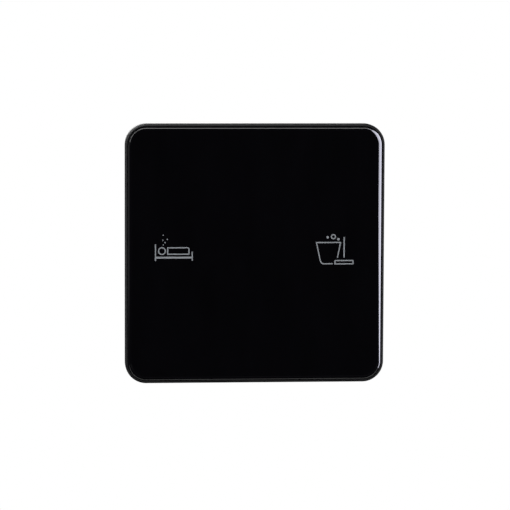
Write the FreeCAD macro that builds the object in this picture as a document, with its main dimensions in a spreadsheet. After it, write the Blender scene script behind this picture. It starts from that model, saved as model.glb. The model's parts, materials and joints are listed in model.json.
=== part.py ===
import FreeCAD, Part

import math
import os

import Sketcher

Vector = FreeCAD.Vector

# Driving sizes in millimetres: name, value, what it measures
SIZES = [
    ("face_width", 86.0, "outside width of the front frame"),
    ("face_height", 86.0, "outside height of the front frame"),
    ("face_corner", 7.0, "corner radius of the front frame seen from the room"),
    ("rim_width", 0.85, "width of the lip round the glass"),
    ("glass_gap", 0.1, "groove between the lip and the glass"),
    ("glass_thick", 2.0, "thickness of the cover glass"),
    ("glass_proud", 1.1, "how far the glass stands in front of the lip"),
    ("glass_round", 1.1, "radius ground on the front edge of the glass"),
    ("rim_depth", 3.3, "straight part of the frame's outer wall"),
    ("rim_round", 0.7, "rounding of the lip's outer edge"),
    ("skirt_inset", 1.8, "how far the skirt draws in towards the wall"),
    ("skirt_wall", 1.5, "wall of the skirt"),
    ("skirt_foot", 0.4, "gap between the skirt and the wall"),
    ("web_thick", 1.2, "floor of the frame behind the glass"),
    ("tape_thick", 0.3, "thickness of the bonding tape"),
    ("tape_width", 4.0, "width of the bonding tape"),
    ("tape_inset", 0.4, "distance from the glass edge to the tape"),
    ("boss_height", 1.6, "height of the screw bosses under the frame's floor"),
    ("boss_radius", 2.6, "radius of those bosses"),
    ("rib_height", 1.0, "height of the stiffening ribs under the frame's floor"),
    ("rib_thick", 1.0, "thickness of the moulded ribs"),
    ("key_inset", 16.3, "middle of each touch key from the side of the face"),
    ("key_rise", 1.0, "middle of each touch key above the centre"),
    ("well_width", 15.6, "width of the light well behind a key"),
    ("well_height", 12.0, "height of the light well behind a key"),
    ("well_corner", 2.0, "corner radius of the light well"),
    ("well_wall", 0.9, "wall of the light well"),
    ("diffuser_lap", 0.8, "how far the diffuser laps over the well's edge"),
    ("board_inset", 6.5, "edge of the touch board in from the edge of the face"),
    ("board_corner", 3.0, "corner radius of the touch board"),
    ("board_thick", 1.2, "thickness of the touch board"),
    ("board_hole_gap", 0.15, "clearance of a board round a screw or leg"),
    ("chip_space", 1.2, "depth of the space for the parts on the board"),
    ("chip_height", 0.9, "height of the touch chip"),
    ("chip_length", 7.4, "length of the touch chip"),
    ("chip_width", 4.4, "width of the touch chip"),
    ("chip_rise", 13.0, "height of the touch chip above the centre"),
    ("lead_length", 0.9, "reach of the touch chip's leads"),
    ("lead_width", 0.4, "width of a lead"),
    ("lead_pitch", 1.0, "spacing of the leads"),
    ("lead_thick", 0.2, "thickness of a lead"),
    ("resistor_length", 1.6, "length of a chip resistor"),
    ("resistor_width", 0.8, "width of a chip resistor"),
    ("resistor_height", 0.5, "height of a chip resistor"),
    ("resistor_pitch", 3.2, "spacing of the chip resistors"),
    ("resistor_drop", 12.0, "distance of the chip resistors below the centre"),
    ("led_width", 1.8, "width of an indicator lamp"),
    ("led_height", 3.0, "height of an indicator lamp"),
    ("led_depth", 0.8, "how far an indicator lamp stands off the board"),
    ("led_offset", 5.9, "indicator lamp from the middle of its key"),
    ("spring_radius", 3.4, "middle radius of a touch spring"),
    ("spring_wire", 0.5, "thickness of a touch spring's wire"),
    ("spring_gap", 0.05, "gap at each end of a touch spring"),
    ("cover_inset", 7.5, "top of the front module's rear cover in from the edge of the face"),
    ("cover_slot_gap", 3.05, "side of that rear cover in from the wall screw slots"),
    ("cover_corner", 3.0, "corner radius of that rear cover"),
    ("cover_thick", 0.9, "floor of that rear cover"),
    ("cover_wall", 1.2, "wall of that rear cover"),
    ("cover_gap", 0.4, "gap between the rear cover and the mounting plate"),
    ("cover_screw_inset", 4.0, "cover screw in from both edges of the rear cover"),
    ("cover_screw_radius", 1.0, "shank radius of a cover screw"),
    ("cover_head_radius", 1.8, "head radius of a cover screw"),
    ("cover_head_height", 0.8, "head height of a cover screw"),
    ("cover_screw_reach", 2.4, "how far a cover screw bites past the board"),
    ("screw_fit", 0.03, "radial clearance round a screw's shank"),
    ("head_fit", 0.2, "radial clearance round a screw's head"),
    ("head_sink", 0.05, "how far a sunk head lies below its face"),
    ("plate_thick", 2.2, "thickness of the mounting plate"),
    ("plate_gap", 1.0, "gap between the mounting plate and the skirt"),
    ("plate_corner", 4.0, "corner radius of the mounting plate"),
    ("fixing_spacing", 60.3, "spacing of the two wall screws"),
    ("slot_width", 4.2, "width of a wall screw slot"),
    ("slot_length", 8.2, "length of a wall screw slot, end to end"),
    ("slot_land", 2.2, "width of the sunk land round a slot"),
    ("slot_sink", 0.6, "depth of the sunk land round a slot"),
    ("clip_rise", 22.0, "middle of a retaining clip above and below the centre"),
    ("clip_width", 7.0, "width of a retaining clip"),
    ("clip_thick", 0.35, "spring steel of a retaining clip"),
    ("clip_leg", 6.0, "length of the leg that lies on the plate"),
    ("clip_inset", 1.3, "bend of the clip inside the plate's edge"),
    ("clip_bulge", 2.9, "how far the clip bulges outwards from its bend"),
    ("clip_bulge_up", 1.9, "height of the bulge above the leg"),
    ("clip_top", 3.2, "height of the clip's free end above the leg"),
    ("stake_radius", 0.8, "moulded stake that holds a clip"),
    ("stake_proud", 0.35, "how far a stake stands past its clip"),
    ("catch_reach", 1.0, "how far the frame's catch stands in from the skirt"),
    ("catch_out", 2.7, "wall side of the frame's catch"),
    ("catch_height", 0.7, "height of the frame's catch"),
    ("catch_slack", 1.0, "how much longer than the clip the catch is"),
    ("pry_width", 9.0, "width of the notch that lets the front be prised off"),
    ("pry_height", 1.6, "height of that notch"),
    ("housing_width", 50.0, "width and height of the housing in the wall"),
    ("housing_corner", 3.0, "corner radius of the housing"),
    ("housing_depth", 27.5, "depth of the housing behind the wall's face"),
    ("housing_wall", 1.8, "walls of the housing"),
    ("housing_seat", 0.5, "recess in the plate that the housing seats in"),
    ("housing_fit", 0.15, "clearance of the housing in that recess"),
    ("housing_bevel", 1.0, "bevel on the housing's rear edges"),
    ("housing_screw_inset", 2.8, "housing screw in from the housing's inner walls"),
    ("housing_screw_radius", 1.25, "shank radius of a housing screw"),
    ("housing_head_radius", 2.2, "head radius of a housing screw"),
    ("housing_head_height", 0.9, "head height of a housing screw"),
    ("housing_screw_length", 9.0, "length of a housing screw under its head"),
    ("housing_boss_radius", 2.7, "radius of the housing's screw bosses"),
    ("housing_rib_depth", 2.0, "how far a rib stands in from the housing's wall"),
    ("housing_rib_width", 3.0, "width of a rib that carries the power board"),
    ("housing_rib_drop", 6.5, "side ribs below the centre"),
    ("vent_width", 1.8, "width of a vent slot"),
    ("vent_length", 17.0, "length of a vent slot"),
    ("vent_pitch", 4.2, "spacing of the vent slots"),
    ("vent_rise", 6.0, "middle of the vent slots above the centre"),
    ("side_vent_length", 9.0, "length of a vent slot in the side walls"),
    ("side_vent_pitch", 4.2, "spacing of the side vents"),
    ("side_vent_setback", 5.5, "rear end of the side vents from the rear face"),
    ("upstand_height", 1.4, "height of the plate's stiffening rim"),
    ("upstand_thick", 1.0, "thickness of that rim"),
    ("upstand_inset", 0.7, "rim in from the edge of the plate"),
    ("upstand_clip_gap", 0.6, "gap in the rim on each side of a clip"),
    ("power_depth", 6.4, "front of the power board behind the wall's face"),
    ("power_thick", 1.6, "thickness of the power board"),
    ("power_fit", 0.25, "clearance of the power board in the housing"),
    ("pillar_radius", 1.6, "pillars that press on the power board"),
    ("header_pitch", 2.54, "spacing of the header pins"),
    ("header_pin", 0.64, "side of a square header pin"),
    ("header_base", 2.5, "thickness of the pin header's base"),
    ("header_margin", 0.05, "how far the header base clears its pitch"),
    ("header_reach", 6.3, "length of the pins past the header base"),
    ("solder_tail", 1.2, "how far pins and legs stand through a board"),
    ("socket_gap", 0.2, "gap between the socket and the header base"),
    ("socket_wall", 0.1, "how much wider than its pitch the socket is"),
    ("socket_hole", 0.95, "side of a hole in the socket"),
    ("socket_roof", 0.9, "closed end of the socket at the touch board"),
    ("window_gap", 0.6, "clearance round the socket in the openings it passes"),
    ("relay_width", 18.0, "width of a relay"),
    ("relay_length", 10.0, "depth of a relay's foot, from its lower to its upper side"),
    ("relay_height", 15.0, "height of a relay above its board"),
    ("relay_inner", 0.6, "inner side of a relay from the centre line"),
    ("relay_rise", 3.0, "lower side of a relay above the centre"),
    ("relay_bevel", 0.5, "bevel on a relay's rear edges"),
    ("core_width", 10.0, "width of the transformer's core"),
    ("core_length", 7.4, "length of the transformer's core"),
    ("core_height", 10.0, "height of the transformer's core"),
    ("core_leg", 2.4, "outer legs of the transformer's core"),
    ("winding_proud", 1.1, "how far the winding stands out of the core"),
    ("winding_inset", 1.4, "how far the winding stops short of the core's ends"),
    ("core_at", 12.0, "middle of the transformer to the left of the centre line"),
    ("parts_gap", 0.3, "gap between the lower row of parts and the busbars"),
    ("capacitor_radius", 3.15, "radius of a filter capacitor"),
    ("capacitor_height", 11.0, "height of a filter capacitor"),
    ("capacitor_neck", 0.25, "depth of the rolled groove in its can"),
    ("capacitor_pitch", 7.2, "spacing of the two capacitors"),
    ("capacitor_at", 1.2, "first capacitor to the left of the centre line"),
    ("fuse_radius", 4.1, "radius of the fuse"),
    ("fuse_height", 7.8, "height of the fuse"),
    ("fuse_at", 14.2, "fuse from the centre line"),
    ("varistor_radius", 3.6, "radius of the varistor's disc"),
    ("varistor_thick", 3.0, "thickness of the varistor's disc"),
    ("varistor_gap", 0.4, "gap between the varistor and the relays"),
    ("varistor_lift", 1.2, "gap under the varistor's disc"),
    ("varistor_lead", 0.6, "thickness of the varistor's two leads"),
    ("way_pitch", 9.4, "spacing of the terminal block's four ways"),
    ("block_wall", 1.4, "outer walls of the terminal block"),
    ("block_roof", 1.95, "wall of the terminal block above its chambers"),
    ("block_fit", 0.15, "clearance of the terminal block in the housing"),
    ("block_step", 2.6, "how far its flange starts behind the power board"),
    ("lip_thick", 0.8, "lip that keeps a terminal screw in"),
    ("lip_hole_radius", 2.2, "screwdriver hole in that lip"),
    ("lip_clearance", 0.1, "end play of a terminal screw"),
    ("terminal_head_height", 1.7, "head height of a terminal screw"),
    ("terminal_head_radius", 2.5, "head radius of a terminal screw"),
    ("terminal_shank_radius", 1.5, "shank radius of a terminal screw"),
    ("terminal_slot_width", 0.8, "screwdriver slot of a terminal screw"),
    ("terminal_slot_depth", 0.8, "depth of that slot"),
    ("cage_fit", 0.05, "radial clearance of the cage on its screw"),
    ("cage_head_gap", 0.3, "gap between the shut cage and the screw's head"),
    ("cage_travel", 3.6, "how far a wire clamp's cage travels"),
    ("cage_roof", 1.4, "threaded wall of the cage"),
    ("cage_roof_gap", 0.2, "gap between the open cage's roof and the busbar"),
    ("cage_floor", 1.0, "wall of the cage that lifts the wire"),
    ("cage_side", 0.9, "side walls of the cage"),
    ("cage_length", 6.0, "length of the cage along the wire"),
    ("cage_clearance", 0.25, "clearance round the cage in its chamber"),
    ("cage_start", 2.4, "cage from the terminal block's lower face"),
    ("wire_space", 4.4, "height of the open space for a wire"),
    ("wire_width", 4.6, "width of the open space for a wire"),
    ("busbar_thick", 1.0, "thickness of a busbar"),
    ("busbar_side_gap", 0.2, "clearance of the busbar inside the cage"),
    ("busbar_leg_gap", 1.0, "busbar leg above the terminal block"),
]


class Length:
    """A length in millimetres that keeps the sheet formula it comes from."""

    def __init__(self, number, formula):
        self.number = float(number)
        self.formula = formula

    def joined(self, number, sign, other):
        return Length(number, f"({self.formula} {sign} {as_length(other).formula})")

    def __add__(self, other):
        return self.joined(self.number + as_length(other).number, "+", other)

    def __sub__(self, other):
        return self.joined(self.number - as_length(other).number, "-", other)

    def __mul__(self, other):
        return self.joined(self.number * as_length(other).number, "*", other)

    def __truediv__(self, other):
        return self.joined(self.number / as_length(other).number, "/", other)

    def __neg__(self):
        return Length(-self.number, f"(0 - {self.formula})")


def as_length(value):
    """A plain number becomes a length, and a length stays as it is."""
    if isinstance(value, Length):
        return value
    return Length(value, f"{value}")


class Sizes:
    """The sheet's sizes by name, each bound to its cell."""

    def __init__(self, rows):
        for alias, number, _ in rows:
            setattr(self, alias, Length(number, f"Sizes.{alias}"))


def make_sheet(document):
    """Write the driving sizes into the document's spreadsheet."""
    sheet = document.addObject("Spreadsheet::Sheet", "Sizes")
    for row, (alias, number, meaning) in enumerate(SIZES, start=1):
        sheet.set(f"A{row}", alias)
        sheet.set(f"B{row}", str(number))
        sheet.set(f"C{row}", meaning)
        sheet.setAlias(f"B{row}", alias)
    document.recompute()


doc = FreeCAD.newDocument("TouchControlPanel")
make_sheet(doc)
mm = Sizes(SIZES)
ZERO = as_length(0.0)
SIDES = (-1, 1)
WAYS = (1, 2, 3, 4)
PIN_COLUMNS = (-1.5, -0.5, 0.5, 1.5)
PIN_ROWS = (-0.5, 0.5)
LEAD_COLUMNS = (-3, -2, -1, 0, 1, 2, 3)
RESISTOR_COLUMNS = (-3, -2, -1, 0, 1, 2, 3)
VENT_COLUMNS = (-2, -1, 0, 1, 2)
SIDE_VENT_ROWS = (-1, 0, 1)
SPRING_TURNS = 2.0
WIRE_SIDES = 6
SPRING_STEPS_PER_TURN = 2

# Distances out of the wall, from the wall's face to the front of the glass
plate_front = mm.plate_thick
cover_back = plate_front + mm.cover_gap
cover_front = cover_back + mm.cover_thick
board_back = cover_front + mm.chip_space
board_front = board_back + mm.board_thick
web_back = board_front + mm.boss_height
web_front = web_back + mm.web_thick
glass_back = web_front + mm.tape_thick
glass_front = glass_back + mm.glass_thick
lip_front = glass_front - mm.glass_proud
skirt_knee = lip_front - mm.rim_depth

# Half widths that pieces share
face_half_width = mm.face_width / 2
face_half_height = mm.face_height / 2
glass_margin = mm.rim_width + mm.glass_gap
plate_inset = mm.skirt_inset + mm.skirt_wall + mm.plate_gap
plate_half_width = face_half_width - plate_inset
plate_half_height = face_half_height - plate_inset
board_half_width = face_half_width - mm.board_inset
board_half_height = face_half_height - mm.board_inset
cover_half_width = mm.fixing_spacing / 2 - mm.slot_length / 2 - mm.cover_slot_gap
cover_half_height = face_half_height - mm.cover_inset
cover_screw_across = cover_half_width - mm.cover_screw_inset
cover_screw_up = cover_half_height - mm.cover_screw_inset
key_offset = face_half_width - mm.key_inset
housing_half = mm.housing_width / 2
housing_inside = housing_half - mm.housing_wall
housing_screw_at = housing_inside - mm.housing_screw_inset
header_half_width = mm.header_pitch * 2
header_half_height = mm.header_pitch

# Distances into the wall, for the power board and the terminals
power_back = mm.power_depth + mm.power_thick
header_front = mm.power_depth - mm.header_base
socket_end = header_front - mm.socket_gap
lip_back = mm.housing_depth - mm.lip_thick
head_top = lip_back - mm.lip_clearance
head_seat = head_top - mm.terminal_head_height
roof_top = head_seat - mm.cage_head_gap - mm.cage_travel
roof_bottom = roof_top - mm.cage_roof
busbar_top = roof_bottom - mm.cage_roof_gap
busbar_bottom = busbar_top - mm.busbar_thick
floor_top = busbar_bottom - mm.wire_space
floor_bottom = floor_top - mm.cage_floor
chamber_front = floor_bottom - mm.cage_clearance

# Heights of the terminals, and their widths
block_bottom = -housing_half
cage_bottom = block_bottom + mm.cage_start
cage_top = cage_bottom + mm.cage_length
cage_half_width = mm.wire_width / 2 + mm.cage_side
chamber_half_width = cage_half_width + mm.cage_clearance
chamber_bottom = cage_bottom - mm.cage_clearance
chamber_top = cage_top + mm.cage_clearance
busbar_half_width = mm.wire_width / 2 - mm.busbar_side_gap
block_top = chamber_top + mm.block_roof
busbar_leg_low = block_top + mm.busbar_leg_gap
busbar_leg_high = busbar_leg_low + mm.busbar_thick
block_half_width = mm.way_pitch * 1.5 + chamber_half_width + mm.block_wall
terminal_axis_height = (cage_bottom + cage_top) / 2
parts_row = busbar_leg_high + mm.parts_gap + mm.core_length / 2 + mm.winding_proud
relay_top = mm.relay_rise + mm.relay_length


def way_centre(way):
    """Distance of one terminal's middle from the centre line."""
    return mm.way_pitch * (way - 2.5)


def new_body(name):
    """An empty body whose label names the piece."""
    body = doc.addObject("PartDesign::Body", name)
    body.Label = name
    body.AllowCompound = True
    return body


def origin_part(body, role):
    """One of the body's own origin planes or axes."""
    for feature in body.Origin.OriginFeatures:
        if feature.Role == role:
            return feature
    raise ValueError(f"{body.Label} has no {role}")


def new_sketch(body, name, role, offset):
    """A sketch parallel to an origin plane, at an offset along its normal."""
    sketch = body.newObject("Sketcher::SketchObject", name)
    sketch.AttachmentSupport = (origin_part(body, role), [""])
    sketch.MapMode = "FlatFace"
    sketch.setExpression("AttachmentOffset.Base.z", as_length(offset).formula)
    return sketch


def wall_sketch(body, name, out):
    """A sketch parallel to the wall: X across, Z up, at a distance out of the wall."""
    return new_sketch(body, name, "XZ_Plane", out)


def pin_point(sketch, geometry, point, across, up):
    """Hold one point of the sketch at its distances from the origin."""
    across = as_length(across)
    up = as_length(up)
    row = sketch.addConstraint(Sketcher.Constraint("DistanceX", -1, 1, geometry, point, across.number))
    sketch.setExpression(f"Constraints[{row}]", across.formula)
    row = sketch.addConstraint(Sketcher.Constraint("DistanceY", -1, 1, geometry, point, up.number))
    sketch.setExpression(f"Constraints[{row}]", up.formula)


def draw_polygon(sketch, points):
    """A closed outline of straight lines through points given as lengths."""
    corners = [(as_length(across), as_length(up)) for across, up in points]
    flat = [Vector(across.number, up.number, 0) for across, up in corners]
    lines = []
    for index, start in enumerate(flat):
        end = flat[(index + 1) % len(flat)]
        lines.append(sketch.addGeometry(Part.LineSegment(start, end), False))
    for index, line in enumerate(lines):
        after = lines[(index + 1) % len(lines)]
        sketch.addConstraint(Sketcher.Constraint("Coincident", line, 2, after, 1))
        pin_point(sketch, line, 1, *corners[index])


def draw_rectangle(sketch, left, right, bottom, top):
    """A plain rectangle between four lengths."""
    draw_polygon(sketch, [(left, bottom), (right, bottom), (right, top), (left, top)])


def draw_circle(sketch, across, up, radius):
    """A circle with its centre and radius bound."""
    across = as_length(across)
    up = as_length(up)
    radius = as_length(radius)
    centre = Vector(across.number, up.number, 0)
    circle = sketch.addGeometry(Part.Circle(centre, Vector(0, 0, 1), radius.number), False)
    row = sketch.addConstraint(Sketcher.Constraint("Radius", circle, radius.number))
    sketch.setExpression(f"Constraints[{row}]", radius.formula)
    pin_point(sketch, circle, 3, across, up)


def draw_rounded(sketch, left, right, bottom, top, corner):
    """A rectangle with four equal round corners."""
    left, right, bottom, top = (as_length(side) for side in (left, right, bottom, top))
    corner = as_length(corner)
    # Each corner: arc centre, then the angle at which its arc starts
    centres = [
        (right - corner, top - corner, 0),
        (left + corner, top - corner, 90),
        (left + corner, bottom + corner, 180),
        (right - corner, bottom + corner, 270),
    ]
    arcs = []
    for across, up, start in centres:
        circle = Part.Circle(Vector(across.number, up.number, 0), Vector(0, 0, 1), corner.number)
        arc = Part.ArcOfCircle(circle, math.radians(start), math.radians(start + 90))
        arcs.append(sketch.addGeometry(arc, False))
    for index, arc in enumerate(arcs):
        after = arcs[(index + 1) % len(arcs)]
        start = sketch.getPoint(arc, 2)
        end = sketch.getPoint(after, 1)
        line = sketch.addGeometry(Part.LineSegment(start, end), False)
        sketch.addConstraint(Sketcher.Constraint("Tangent", arc, 2, line, 1))
        sketch.addConstraint(Sketcher.Constraint("Tangent", line, 2, after, 1))
        level = "Horizontal" if index % 2 == 0 else "Vertical"
        sketch.addConstraint(Sketcher.Constraint(level, line))
    for arc in arcs[1:]:
        sketch.addConstraint(Sketcher.Constraint("Equal", arcs[0], arc))
    row = sketch.addConstraint(Sketcher.Constraint("Radius", arcs[0], corner.number))
    sketch.setExpression(f"Constraints[{row}]", corner.formula)
    pin_point(sketch, arcs[0], 3, centres[0][0], centres[0][1])
    pin_point(sketch, arcs[2], 3, centres[2][0], centres[2][1])


def draw_centred(sketch, half_width, half_height, corner):
    """A rounded rectangle about the middle of the panel."""
    draw_rounded(sketch, -half_width, half_width, -half_height, half_height, corner)


def draw_slot(sketch, across, up, length, width):
    """A slot along X with round ends, its centre and sizes bound."""
    half = width / 2
    reach = length / 2 - half
    ends = [(across + reach, up, -90), (across - reach, up, 90)]
    arcs = []
    for end_across, end_up, start in ends:
        centre = Vector(end_across.number, as_length(end_up).number, 0)
        circle = Part.Circle(centre, Vector(0, 0, 1), half.number)
        arc = Part.ArcOfCircle(circle, math.radians(start), math.radians(start + 180))
        arcs.append(sketch.addGeometry(arc, False))
    for arc, after in ((arcs[0], arcs[1]), (arcs[1], arcs[0])):
        line = sketch.addGeometry(
            Part.LineSegment(sketch.getPoint(arc, 2), sketch.getPoint(after, 1)), False
        )
        sketch.addConstraint(Sketcher.Constraint("Tangent", arc, 2, line, 1))
        sketch.addConstraint(Sketcher.Constraint("Tangent", line, 2, after, 1))
    row = sketch.addConstraint(Sketcher.Constraint("Radius", arcs[0], half.number))
    sketch.setExpression(f"Constraints[{row}]", half.formula)
    pin_point(sketch, arcs[0], 3, ends[0][0], up)
    pin_point(sketch, arcs[1], 3, ends[1][0], up)


def finish_feature(body, feature):
    """Recompute a new feature and make it the body's tip."""
    body.Tip = feature
    doc.recompute()
    if feature.Shape.isNull():
        raise ValueError(f"{feature.Name} of {body.Label} made no shape")
    return feature


def pad(body, name, sketch, length, both_ways=False):
    """Add material along the sketch's normal."""
    feature = body.newObject("PartDesign::Pad", name)
    feature.Profile = sketch
    feature.Midplane = both_ways
    feature.setExpression("Length", as_length(length).formula)
    return finish_feature(body, feature)


def pocket(body, name, sketch, length, both_ways=False):
    """Cut against the sketch's normal, and check that something was cut."""
    before = body.Shape.Volume
    feature = body.newObject("PartDesign::Pocket", name)
    feature.Profile = sketch
    feature.Midplane = both_ways
    feature.setExpression("Length", as_length(length).formula)
    finish_feature(body, feature)
    if not feature.Shape.Volume < before:
        raise ValueError(f"{name} cuts nothing from {body.Label}")
    return feature


def loft(body, name, sketches, cut=False):
    """A straight loft between two sketches, added or cut."""
    kind = "PartDesign::SubtractiveLoft" if cut else "PartDesign::AdditiveLoft"
    feature = body.newObject(kind, name)
    feature.Profile = sketches[0]
    feature.Sections = sketches[1:]
    feature.Ruled = True
    return finish_feature(body, feature)


def turned(body, name, sketch):
    """A turned piece about the sketch's own vertical axis."""
    feature = body.newObject("PartDesign::Revolution", name)
    feature.Profile = sketch
    feature.ReferenceAxis = (sketch, ["V_Axis"])
    feature.Angle = 360
    return finish_feature(body, feature)


def repeated(body, name, feature, role, length, count=2):
    """Copies of a feature along an origin axis, over a whole length."""
    pattern = body.newObject("PartDesign::LinearPattern", name)
    pattern.Originals = [feature]
    pattern.Direction = (origin_part(body, role), [""])
    pattern.Occurrences = count
    pattern.setExpression("Length", as_length(length).formula)
    return finish_feature(body, pattern)


def to_four_corners(body, name, features):
    """Mirror features made at the upper right to all four corners."""
    corners = doc.addObject("PartDesign::MultiTransform", name)
    corners.Originals = features
    body.addObject(corners)
    mirrors = []
    for role in ("YZ_Plane", "XY_Plane"):
        mirror = doc.addObject("PartDesign::Mirrored", f"{name}_{role}")
        mirror.MirrorPlane = (origin_part(body, role), [""])
        body.addObject(mirror)
        mirrors.append(mirror)
    corners.Transformations = mirrors
    return finish_feature(body, corners)


def rounded_edges(body, name, base, chosen, radius):
    """A fillet on the edges of the base that the test picks."""
    edges = [f"Edge{number}" for number, edge in enumerate(base.Shape.Edges, start=1) if chosen(edge)]
    feature = body.newObject("PartDesign::Fillet", name)
    feature.Base = (base, edges)
    feature.setExpression("Radius", as_length(radius).formula)
    return finish_feature(body, feature)


def bevelled_edges(body, name, base, chosen, size):
    """A chamfer on the edges of the base that the test picks."""
    edges = [f"Edge{number}" for number, edge in enumerate(base.Shape.Edges, start=1) if chosen(edge)]
    feature = body.newObject("PartDesign::Chamfer", name)
    feature.Base = (base, edges)
    feature.setExpression("Size", as_length(size).formula)
    return finish_feature(body, feature)


def lies_at(edge, axis, level):
    """True for an edge whose box is flat at one level along an axis."""
    box = edge.BoundBox
    low = getattr(box, f"{axis}Min")
    high = getattr(box, f"{axis}Max")
    return abs(low - level) < 1e-4 and abs(high - level) < 1e-4


def place(body, across, deep, up):
    """Put the body's own origin at a point of the panel."""
    for letter, value in (("x", across), ("y", deep), ("z", up)):
        body.setExpression(f"Placement.Base.{letter}", as_length(value).formula)


def cover_glass():
    """The black touch glass, with its ground front edge."""
    body = new_body("cover_glass")
    outline = wall_sketch(body, "glass_outline", glass_back)
    draw_centred(
        outline,
        face_half_width - glass_margin,
        face_half_height - glass_margin,
        mm.face_corner - glass_margin,
    )
    slab = pad(body, "glass_slab", outline, mm.glass_thick)
    front = -glass_front.number
    rounded_edges(body, "ground_edge", slab, lambda edge: lies_at(edge, "Y", front), mm.glass_round)
    return body


def glass_tape():
    """The ring of double-sided tape between the glass and its frame."""
    body = new_body("glass_tape")
    edge = glass_margin + mm.tape_inset
    inner = edge + mm.tape_width
    outline = wall_sketch(body, "tape_outline", web_front)
    draw_centred(outline, face_half_width - edge, face_half_height - edge, mm.face_corner - edge)
    draw_centred(outline, face_half_width - inner, face_half_height - inner, mm.face_corner - edge)
    pad(body, "tape_ring", outline, mm.tape_thick)
    return body


def draw_wells(sketch, grow):
    """The outlines of the two light wells, grown by a length."""
    half_width = mm.well_width / 2 + grow
    half_height = mm.well_height / 2 + grow
    for side in SIDES:
        middle = key_offset * side
        draw_rounded(
            sketch,
            middle - half_width,
            middle + half_width,
            mm.key_rise - half_height,
            mm.key_rise + half_height,
            mm.well_corner + grow,
        )


def draw_four_circles(sketch, across, up, radius):
    """Equal circles at the four corners of a rectangle about the middle."""
    for side in SIDES:
        for level in SIDES:
            draw_circle(sketch, across * side, up * level, radius)


def draw_four_squares(sketch, across, up, half):
    """Equal squares at the four corners of a rectangle about the middle."""
    for side in SIDES:
        for level in SIDES:
            middle = across * side
            height = up * level
            draw_rectangle(sketch, middle - half, middle + half, height - half, height + half)


def frame_shell(body):
    """The frame's outer form: a skirt that draws in to the wall, and the lip."""
    foot = wall_sketch(body, "skirt_foot_outline", mm.skirt_foot)
    draw_centred(
        foot,
        face_half_width - mm.skirt_inset,
        face_half_height - mm.skirt_inset,
        mm.face_corner - mm.skirt_inset,
    )
    knee = wall_sketch(body, "skirt_knee_outline", skirt_knee)
    draw_centred(knee, face_half_width, face_half_height, mm.face_corner)
    loft(body, "skirt", [foot, knee])
    rim = wall_sketch(body, "rim_outline", skirt_knee)
    draw_centred(rim, face_half_width, face_half_height, mm.face_corner)
    wall = pad(body, "rim_wall", rim, mm.rim_depth)
    front = -lip_front.number
    rounded_edges(body, "rim_rounding", wall, lambda edge: lies_at(edge, "Y", front), mm.rim_round)


def frame_hollows(body):
    """The seat for the glass in front and the space for the electronics behind."""
    seat = wall_sketch(body, "glass_seat_outline", lip_front)
    draw_centred(
        seat,
        face_half_width - mm.rim_width,
        face_half_height - mm.rim_width,
        mm.face_corner - mm.rim_width,
    )
    pocket(body, "glass_seat", seat, lip_front - web_front)
    inside = mm.skirt_inset + mm.skirt_wall
    mouth = wall_sketch(body, "skirt_mouth_outline", mm.skirt_foot)
    draw_centred(mouth, face_half_width - inside, face_half_height - inside, mm.face_corner - inside)
    bend = wall_sketch(body, "skirt_bend_outline", skirt_knee)
    draw_centred(
        bend,
        face_half_width - mm.skirt_wall,
        face_half_height - mm.skirt_wall,
        mm.face_corner - mm.skirt_wall,
    )
    loft(body, "skirt_hollow", [mouth, bend], cut=True)
    deep = wall_sketch(body, "web_outline", web_back)
    draw_centred(
        deep,
        face_half_width - mm.skirt_wall,
        face_half_height - mm.skirt_wall,
        mm.face_corner - mm.skirt_wall,
    )
    pocket(body, "web_hollow", deep, web_back - skirt_knee)


def frame_wells(body):
    """The walls of the light wells and their windows through the web."""
    walls = wall_sketch(body, "well_walls", board_front)
    draw_wells(walls, mm.well_wall)
    pad(body, "well_wall_blocks", walls, mm.boss_height)
    windows = wall_sketch(body, "well_windows", web_front)
    draw_wells(windows, ZERO)
    pocket(body, "well_windows_cut", windows, web_front - board_front)


def frame_bosses(body):
    """Screw bosses, with holes that stop short of the glass."""
    bosses = wall_sketch(body, "boss_outlines", board_front)
    draw_four_circles(bosses, cover_screw_across, cover_screw_up, mm.boss_radius)
    pad(body, "bosses", bosses, mm.boss_height)
    hole_end = board_front + mm.cover_screw_reach + mm.screw_fit
    holes = wall_sketch(body, "boss_holes", hole_end)
    draw_four_circles(
        holes, cover_screw_across, cover_screw_up, mm.cover_screw_radius + mm.screw_fit
    )
    pocket(body, "boss_holes_cut", holes, hole_end - board_front)


def frame_ribs(body):
    """Stiffening ribs under the web, clear of the touch board."""
    ribs = wall_sketch(body, "rib_outlines", web_back - mm.rib_height)
    half = mm.rib_thick / 2
    reach = face_half_width - mm.skirt_wall
    for level in SIDES:
        middle = cover_screw_up * level
        draw_rectangle(ribs, -reach, reach, middle - half, middle + half)
    pad(body, "ribs", ribs, mm.rib_height)


def skirt_inner(out):
    """Half width of the skirt's inner face at a distance out of the wall."""
    slope = mm.skirt_inset / (skirt_knee - mm.skirt_foot)
    return face_half_width - mm.skirt_wall - slope * (skirt_knee - out)


def frame_catches(body):
    """Catches inside the skirt, one for each retaining clip."""
    low = as_length(mm.catch_out)
    high = low + mm.catch_height
    profile = new_sketch(body, "catch_profile", "XY_Plane", mm.clip_rise)
    tip = skirt_inner(high) - mm.catch_reach
    root = face_half_width - mm.skirt_inset
    draw_polygon(
        profile,
        [
            (tip, -high),
            (root, -high),
            (root, -low + mm.catch_reach),
            (skirt_inner(low - mm.catch_reach), -low + mm.catch_reach),
            (tip, -low),
        ],
    )
    catch = pad(body, "catch", profile, mm.clip_width + mm.catch_slack, both_ways=True)
    to_four_corners(body, "catches", [catch])


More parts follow.
